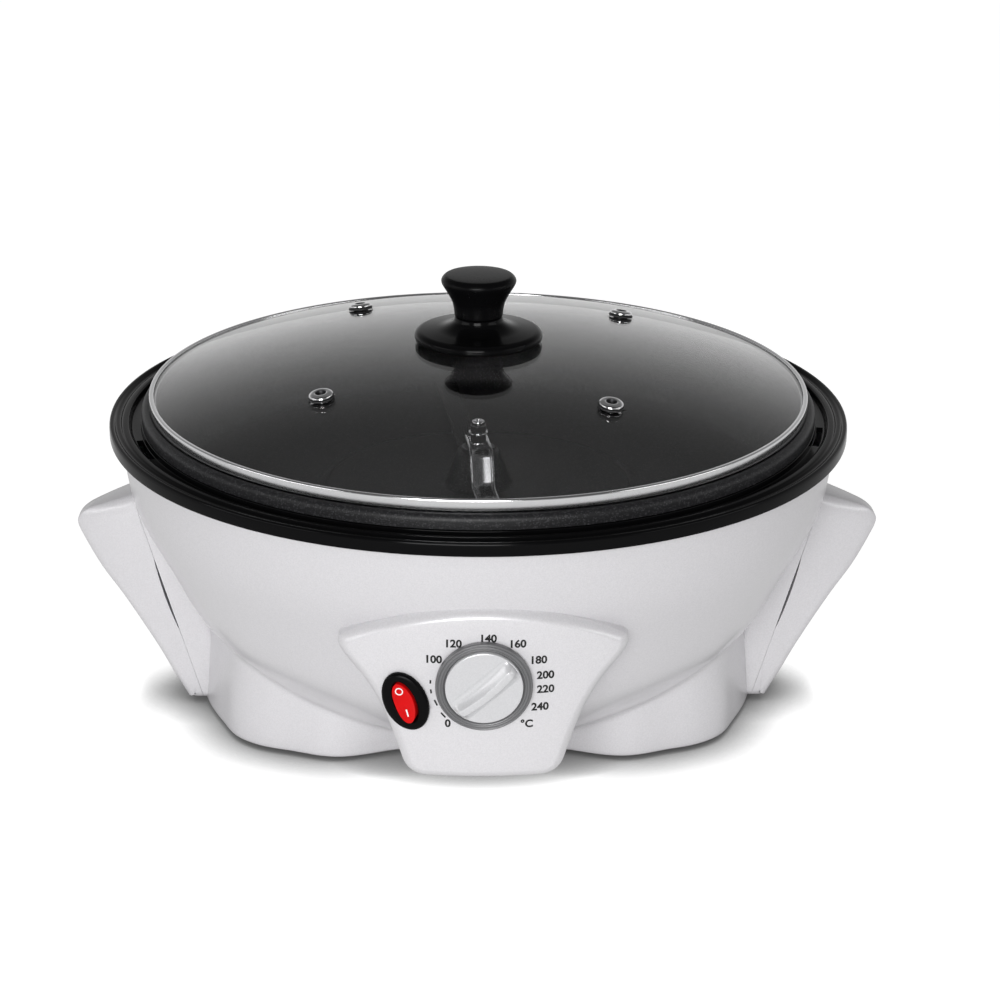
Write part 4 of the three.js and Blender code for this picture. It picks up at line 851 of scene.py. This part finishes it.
# The dial's and the switch's own places on the face: X across, Y up the face and Z straight out.
dial_centre = 65.3
dial_place = Matrix((
    (1, 0, 0, 0), (0, -0.061049, -0.998135, -0.1373522),
    (0, 0.998135, -0.061049, dial_centre * mm), (0, 0, 0, 1),
))
switch_place = Matrix((
    (0.909020, -0.367268, -0.196970, -0.0274), (-0.205156, 0.017045, -0.978581, -0.1341420),
    (0.362759, 0.929959, -0.059853, 0.0581), (0, 0, 0, 1),
))
stem_cut = turned("stem_cut", [(0, -8), (3.4, -8), (3.4, 4), (0, 4)], 40)
cut_out(panel, placed(stem_cut, dial_place))
switch_cut = turned("switch_cut", [(0, -8), (1, -8), (1, 4), (0, 4)], 48)
cut_out(panel, placed(switch_cut, switch_place @ Matrix.Diagonal((6.1, 9.5, 1, 1))))
pearl_panel = pearl_lacquer("pearl_panel", (0.69, 0.68, 0.70), 0.34)
dressed(panel, pearl_panel, "housing", "pearl_paint", "control_panel")

# Printing on the panel: a temperature scale round the dial in plain black figures, from 0 at the
# lower left, clockwise to 240, with four dashes before the first figures.
ink = grained("black_ink", (0.004, 0.004, 0.004), 0.7, 900, 0.00001)
figure_size, figure_bolder, dash_width = 4.1, 0.14, 0.6
marks = []
for text, across, up in [
    ("0", -12.7, -15.65), ("100", -17.8, 9.45), ("120", -10.9, 15.85), ("140", 1.3, 17.95),
    ("160", 11.6, 15.65), ("180", 19.0, 9.0), ("200", 21.6, 2.95), ("220", 21.7, -2.6),
    ("240", 19.8, -9.45), ("\u00b0C", 15.15, -16.0),
]:
    bpy.ops.object.select_all(action="DESELECT")
    bpy.ops.object.text_add(location=(across * mm, up * mm, 0))
    letters = bpy.context.object.data
    letters.body = text
    letters.size = figure_size * mm
    letters.offset = figure_bolder * mm
    letters.align_x = letters.align_y = "CENTER"
    letters.resolution_u = 4
    bpy.ops.object.convert(target="MESH")
    marks.append(bpy.context.object)
for across, up, long_side in [
    (-18.8, 0.65, 1.4), (-18.6, -3.1, 1.6), (-16.9, -7.5, 2.4), (-14.3, -12.3, 2.4),
]:
    turn = Vector((across, up)).angle_signed(Vector((1, 0)))
    bpy.ops.object.select_all(action="DESELECT")
    bpy.ops.mesh.primitive_plane_add(size=mm, location=(0, 0, 0))
    place = Matrix.Translation((across * mm, up * mm, 0)) @ Matrix.Rotation(turn, 4, "Z")
    place = place @ Matrix.Diagonal((dash_width, long_side, 1, 1))
    marks.append(placed(bpy.context.object, place))
scale = merged(*marks)
scale.name = scale.data.name = "dial_scale"
bpy.ops.object.transform_apply(location=True, rotation=True, scale=True)
bpy.ops.object.mode_set(mode="EDIT")
welded()
bpy.ops.mesh.dissolve_limited(angle_limit=radians(0.5))
bpy.ops.mesh.quads_convert_to_tris()
bpy.ops.mesh.subdivide(number_cuts=1)
bpy.ops.object.mode_set(mode="OBJECT")
for corner in scale.data.vertices:
    across, up = corner.co.x / mm, corner.co.y / mm + dial_centre
    corner.co = Vector((across, face_at(across, up) - 0.06, up)) * mm
dressed(scale, ink, "housing", "pearl_paint")

# Dial: a painted grey ring is let into the panel, and the knob is a silver-white disc inside it
# with a bowed ridge right across to turn it by. Its stem goes into the thermostat behind the panel.
grey_ring = grained("grey_ring_paint", (0.17, 0.17, 0.175), 0.36, 1800, 0.00002, metallic=0.35)
ring = turned("dial_surround", [
    (13.95, 0.3), (17.1, 0.3), (17.1, 2.0, 0.3), (16.6, 2.5, 0.3), (16.2, 2.1, 0.2),
    (15.9, 2.55, 0.2), (15.3, 2.55, 0.2), (15.1, 2.3, 0.1), (14.9, 2.55, 0.1),
    (14.5, 2.45, 0.2), (13.95, 1.7, 0.2),
], 96)
placed(ring, dial_place)
dressed(ring, grey_ring, "housing", "dial_grey", "dial_ring")
disc_face, ridge_height, ridge_low, ridge_high = 3.0, 3.0, -3.8, 5.4
crest_middle, crest_bow, crest_half, crest_dome, scoop = 2.1, 1.2, 1.2, 0.12, 0.5
disc_edge, end_slope, dial_rest = 13.3, 1.6, 42


def dial_height(across, up):
    """The knob's face: a flat disc, a hollow rising to the ridge's crest, and its steep side."""
    crest = crest_middle - crest_bow * (across / 12) ** 2
    ends = max(0, min(1, (disc_edge - hypot(across, up)) / end_slope)) ** 0.6
    down = -up
    if ridge_low < down < crest - crest_half:
        share = (down - ridge_low) / (crest - crest_half - ridge_low)
        return disc_face + ends * (ridge_height * share ** 1.6 - scoop * sin(pi * share) ** 0.8)
    if crest - crest_half <= down < crest + crest_half:
        dome = 1 - ((down - crest) / crest_half) ** 2
        return disc_face + ends * (ridge_height + crest_dome * dome)
    if crest + crest_half <= down < ridge_high:
        share = (ridge_high - down) / (ridge_high - crest_half - crest)
        return disc_face + ends * ridge_height * share ** 1.3
    return disc_face


bpy.ops.object.select_all(action="DESELECT")
bpy.ops.mesh.primitive_grid_add(
    x_subdivisions=40, y_subdivisions=140, size=28 * mm, location=(0, 0, 0))
disc = named("dial_disc")
for corner in disc.data.vertices:
    corner.co.z = dial_height(corner.co.x / mm, corner.co.y / mm) * mm
bpy.ops.object.mode_set(mode="EDIT")
bpy.ops.mesh.select_all(action="SELECT")
extruded((0, 0, -7 * mm))
settled(disc, 60)
cut_out(disc, turned("disc_edge", [
    (0, 0.6), (13.75, 0.6), (13.75, 2.5), (13.6, 2.85), (13.3, 3.01), (12.6, 6.5), (0, 6.5),
], 128), "INTERSECT")
silver_white = pearl_lacquer("silver_white", (0.62, 0.62, 0.635), 0.26)
placed(disc, dial_place @ Matrix.Rotation(radians(dial_rest), 4, "Z"))
dressed(disc, silver_white, "dial", "dial_white", "dial_knob")
stem = turned("steel_stem", [(0, -7.8), (2.4, -7.8, 0.2), (2.4, 2.8, 0.3), (0, 2.8)], 32)
dressed(placed(stem, dial_place), turned_steel, "dial", "steel", "thermostat_stem")

# Switch: a lighted rocker in an oval black bezel that clips into the panel. The rocker is clear red
# and lies with its O end in, and it carries the two usual marks in white.
levels = [
    (6.1, 9.4, -4.0), (6.1, 9.4, 0.3), (8.0, 11.4, 0.3), (8.0, 11.4, 1.1), (7.8, 11.2, 1.7),
    (7.2, 10.6, 2.2), (5.0, 9.2, 2.25), (4.2, 8.5, 2.1), (3.9, 8.15, 1.6), (3.8, 8.1, -4.6),
    (3.8, 8.1, -5.4), (5.8, 9.2, -5.4), (5.8, 9.2, -4.0),
]
level_profile = [(20 - i, i) for i in range(len(levels))] + [(19.5, -0.5)]
bezel = turned("switch_bezel", level_profile, 72, 42)
for corner in bezel.data.vertices:
    turn = Vector(corner.co[:2]).angle_signed(Vector((1, 0)))
    wide, long_side, up = levels[max(0, round(corner.co.z / mm))]
    corner.co = Vector((wide * cos(turn), long_side * sin(turn), up)) * mm
settled(bezel, 42)
barrel = turned("switch_barrel", [(0.80, -14), (1, -14), (1, -5.2), (0.80, -5.2)], 72)
placed(barrel, Matrix.Diagonal((5.8, 9.2, 1, 1)))
placed(merged(bezel, barrel), switch_place)
switch_black = black_gloss("switch_black", 0.26)
dressed(bezel, switch_black, "housing", "dark_plastic", "switch_housing")

clear_red, tree, surface = new_material("clear_red")
where = added(tree, "TexCoord").outputs["Object"]
cloud = added(tree, "TexNoise", {"Vector": where, "Scale": 180})
tint = added(tree, "MixRGB", {
    "Fac": cloud.outputs["Fac"],
    "Color1": (0.48, 0.002, 0.003, 1), "Color2": (0.66, 0.004, 0.005, 1),
}).outputs["Color"]
fill(tree, surface, {
    "Base Color": tint, "Emission Color": tint, "Emission Strength": 0.08, "Roughness": 0.25,
    "Specular IOR Level": 0.15, "Subsurface Weight": 0.15, "Subsurface Scale": 0.003,
})
rocker_width, rocker_rest = 7.6, -7
rocker_line = [
    (-7.6, -3.0), (7.6, -3.0, 0.4), (7.6, 3.9, 0.5), (0, 2.7, 2.0), (-7.6, 3.9, 0.5), (-7.6, -3.0),
]
rocker = drawn_line("rocker_paddle", [(0, y * mm, z * mm) for y, z in softened(rocker_line, 4)])
welded()
bpy.ops.mesh.edge_face_add()
extruded((rocker_width * mm, 0, 0))
bpy.ops.mesh.select_all(action="SELECT")
bpy.ops.transform.translate(value=(-rocker_width / 2 * mm, 0, 0))
settled(rocker, 30)
oval = turned("rocker_oval", [(0, -4), (1, -4), (1, 6), (0, 6)], 72)
cut_out(rocker, placed(oval, Matrix.Diagonal((3.45, 7.5, 1, 1))), "INTERSECT")
rounded(rocker, 0.35, 3)
bpy.ops.object.shade_smooth_by_angle(angle=radians(40))
rocker_place = switch_place @ Matrix.Rotation(radians(rocker_rest), 4, "X")
placed(rocker, rocker_place)
dressed(rocker, clear_red, "rocker", "switch_red", "switch_rocker")

white_print = grained("white_print", (0.85, 0.85, 0.85), 0.4, 900, 0.00001)
off_mark = turned("rocker_off_mark", [(1.05, 0), (1.45, 0), (1.45, 0.12), (1.05, 0.12)], 40)
bpy.ops.object.select_all(action="DESELECT")
bpy.ops.mesh.primitive_cube_add(size=mm, location=(0, 0, 0))
on_mark = bpy.context.object
on_mark.name = "rocker_on_mark"
for mark, along, up, lean, size in [
    (off_mark, 4.6, 3.41, 9.0, (1, 1, 1, 1)), (on_mark, -3.8, 3.29, -9.0, (0.5, 2.6, 0.16, 1)),
]:
    on_face = Matrix.Translation((0, along * mm, up * mm)) @ Matrix.Rotation(radians(lean), 4, "X")
    placed(mark, rocker_place @ on_face @ Matrix.Diagonal(size))
    dressed(mark, white_print, "rocker", "switch_red")

# Lid glass: one dome of clear tempered glass with a hole for the knob and one for each vent eyelet,
# turned on a lathe and drilled square to its face. A faint smear of wiping is in its shine.
lid_edge_top, dome_rise, dome_power, glass_radius = 130.1, 19, 2.2, 127.7
glass_wall, knob_hole, eyelet_circle = 2.6, 2.6, 79


def dome_at(radius):
    """The height of the glass's outer face at this distance from the axis."""
    return lid_edge_top + dome_rise * (1 - (radius / glass_radius) ** dome_power)


def eyelet_place(angle):
    """A place on the dome at this angle in degrees, with Z square to the glass."""
    slope = dome_rise * dome_power / glass_radius * (eyelet_circle / glass_radius) ** 1.2
    up_dome = Matrix.Translation((eyelet_circle * mm, 0, dome_at(eyelet_circle) * mm))
    return Matrix.Rotation(radians(angle), 4, "Z") @ up_dome @ Matrix.Rotation(atan(slope), 4, "Y")


clear_glass, tree, surface = new_material("clear_glass")
where = added(tree, "TexCoord").outputs["Object"]
smear = added(tree, "TexNoise", {"Vector": where, "Scale": 22, "Detail": 6})
haze = added(tree, "MapRange", {
    "Value": smear.outputs["Fac"], "From Min": 0.45, "From Max": 0.8, "To Min": 0.0,
    "To Max": 0.035,
})
fill(tree, surface, {
    "Base Color": (0.95, 0.95, 0.955, 1), "Metallic": 0, "Transmission Weight": 1, "IOR": 1.45,
    "Coat Weight": 0.08, "Roughness": haze.outputs["Result"],
})
stations = [knob_hole + (glass_radius - knob_hole) * i / 30 for i in range(31)]
glass_inside = [(r, dome_at(r) - glass_wall) for r in stations]
glass_outside = [(r, dome_at(r)) for r in reversed(stations)]
glass = turned("dome_glass", glass_inside + glass_outside, 192, 40)
for angle in (221.5, 307.1, 41.5, 127.1):
    drill = turned("drill", [(0, -6), (3.2, -6), (3.2, 4), (0, 4)], 32)
    cut_out(glass, placed(drill, eyelet_place(angle)))
dressed(glass, clear_glass, "lid", "lid_glass", "lid_glass")

# Lid rim: a polished steel band rolled round the glass's edge, with a skirt that drops inside the
# pan's mouth.
rim_steel = metal("rim_steel", (0.80, 0.80, 0.81), 0.16, 700, 0.000006, along=(1, 1, 30))
band = turned("lid_band", [
    (125.7, 124.1), (125.7, 126.7, 0.3), (128.5, 126.7, 0.5), (128.5, 130.9, 0.9),
    (127.7, 131.15, 0.5), (126.7, dome_at(126.7) + 0.55, 0.3), (126.6, dome_at(126.6) + 0.08),
    (128.0, 130.3), (128.0, 127.2, 0.3), (125.2, 127.2, 0.3), (125.2, 124.1),
], 192, 50)
dressed(band, rim_steel, "lid", "polished_steel", "lid_rim")

# Vent eyelets: four bright tubular rivets through the dome, each over a dark gasket. Their bores
# and undersides take a near-black steel, painted shade for the hole and the flange under the glass.
chrome = metal("bright_eyelet", (0.78, 0.78, 0.79), 0.12, 900, 0.000006)
painted_shade_steel = metal("painted_shade_steel", (0.05, 0.05, 0.053), 0.45, 600)
gasket_rubber = grained("gasket_rubber", (0.02, 0.02, 0.021), 0.6, 900, 0.00003)
for i in range(1, 5):
    low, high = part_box(f"vent_eyelet_{i}")
    middle = (Vector(low) + Vector(high)) / 2
    place = eyelet_place(degrees(-Vector((1, 0)).angle_signed(middle.xy)))
    eyelet = turned(f"bright_vent_eyelet_{i}", [
        (1.9, -3.7), (4.2, -3.7, 0.3), (4.2, -2.9, 0.3), (2.9, -2.9), (2.9, 1.3), (4.6, 1.3, 0.2),
        (4.6, 2.0, 0.4), (3.6, 2.7, 0.7), (2.2, 2.7, 0.5), (1.9, 2.2, 0.4),
    ], 48)
    centres = [face.center.copy() for face in eyelet.data.polygons]
    dressed(placed(eyelet, place), chrome, "lid", "polished_steel", f"vent_eyelet_{i}")
    # Painted shade: faces in the bore and below the glass take the near-black second material.
    eyelet.data.materials.append(painted_shade_steel)
    for face, spot in zip(eyelet.data.polygons, centres):
        face.material_index = int(hypot(*spot[:2]) < 2.1 * mm or spot.z < 1 * mm)
    gasket = turned(f"rubber_eyelet_gasket_{i}", [
        (3.2, 0.25), (4.9, 0.25, 0.3), (4.9, 1.0, 0.3), (3.2, 1.0),
    ], 48)
    dressed(placed(gasket, place), gasket_rubber, "lid", "silicone", f"eyelet_gasket_{i}")

# Lid knob: a flanged base and a waisted grip in glossy black, drawn together on the glass by one
# screw from below, over a soft washer.
base = turned("knob_flange", [
    (2.6, 149.4), (24.2, 149.4, 0.6), (25, 150.2, 0.6), (25, 152.3, 1.2), (23.4, 153.4, 1.0),
    (14.0, 154.4, 3.0), (9.8, 156.6, 2.0), (9.3, 158.9, 0.5), (2.6, 158.9),
], 96, 40)
dressed(base, gloss, "lid", "gloss_black", "knob_base")
grip = turned("knob_grip_turned", [
    (2.6, 159.3), (9.4, 159.3, 0.3), (9.7, 162.0, 1.0), (10.2, 164.8, 1.5), (12.4, 168.9, 3.0),
    (14.6, 172.4, 1.6), (14.6, 173.9, 1.0), (13.2, 175.4, 1.0), (12.2, 175.5), (11, 175.58),
    (8, 175.7), (4, 175.77), (0.5, 175.79), (0, 175.79),
], 96, 40)
black_satin = black_gloss("black_satin", 0.27)
dressed(grip, black_satin, "lid", "gloss_black", "knob_grip")
finish_with(gasket_rubber, "knob_washer")
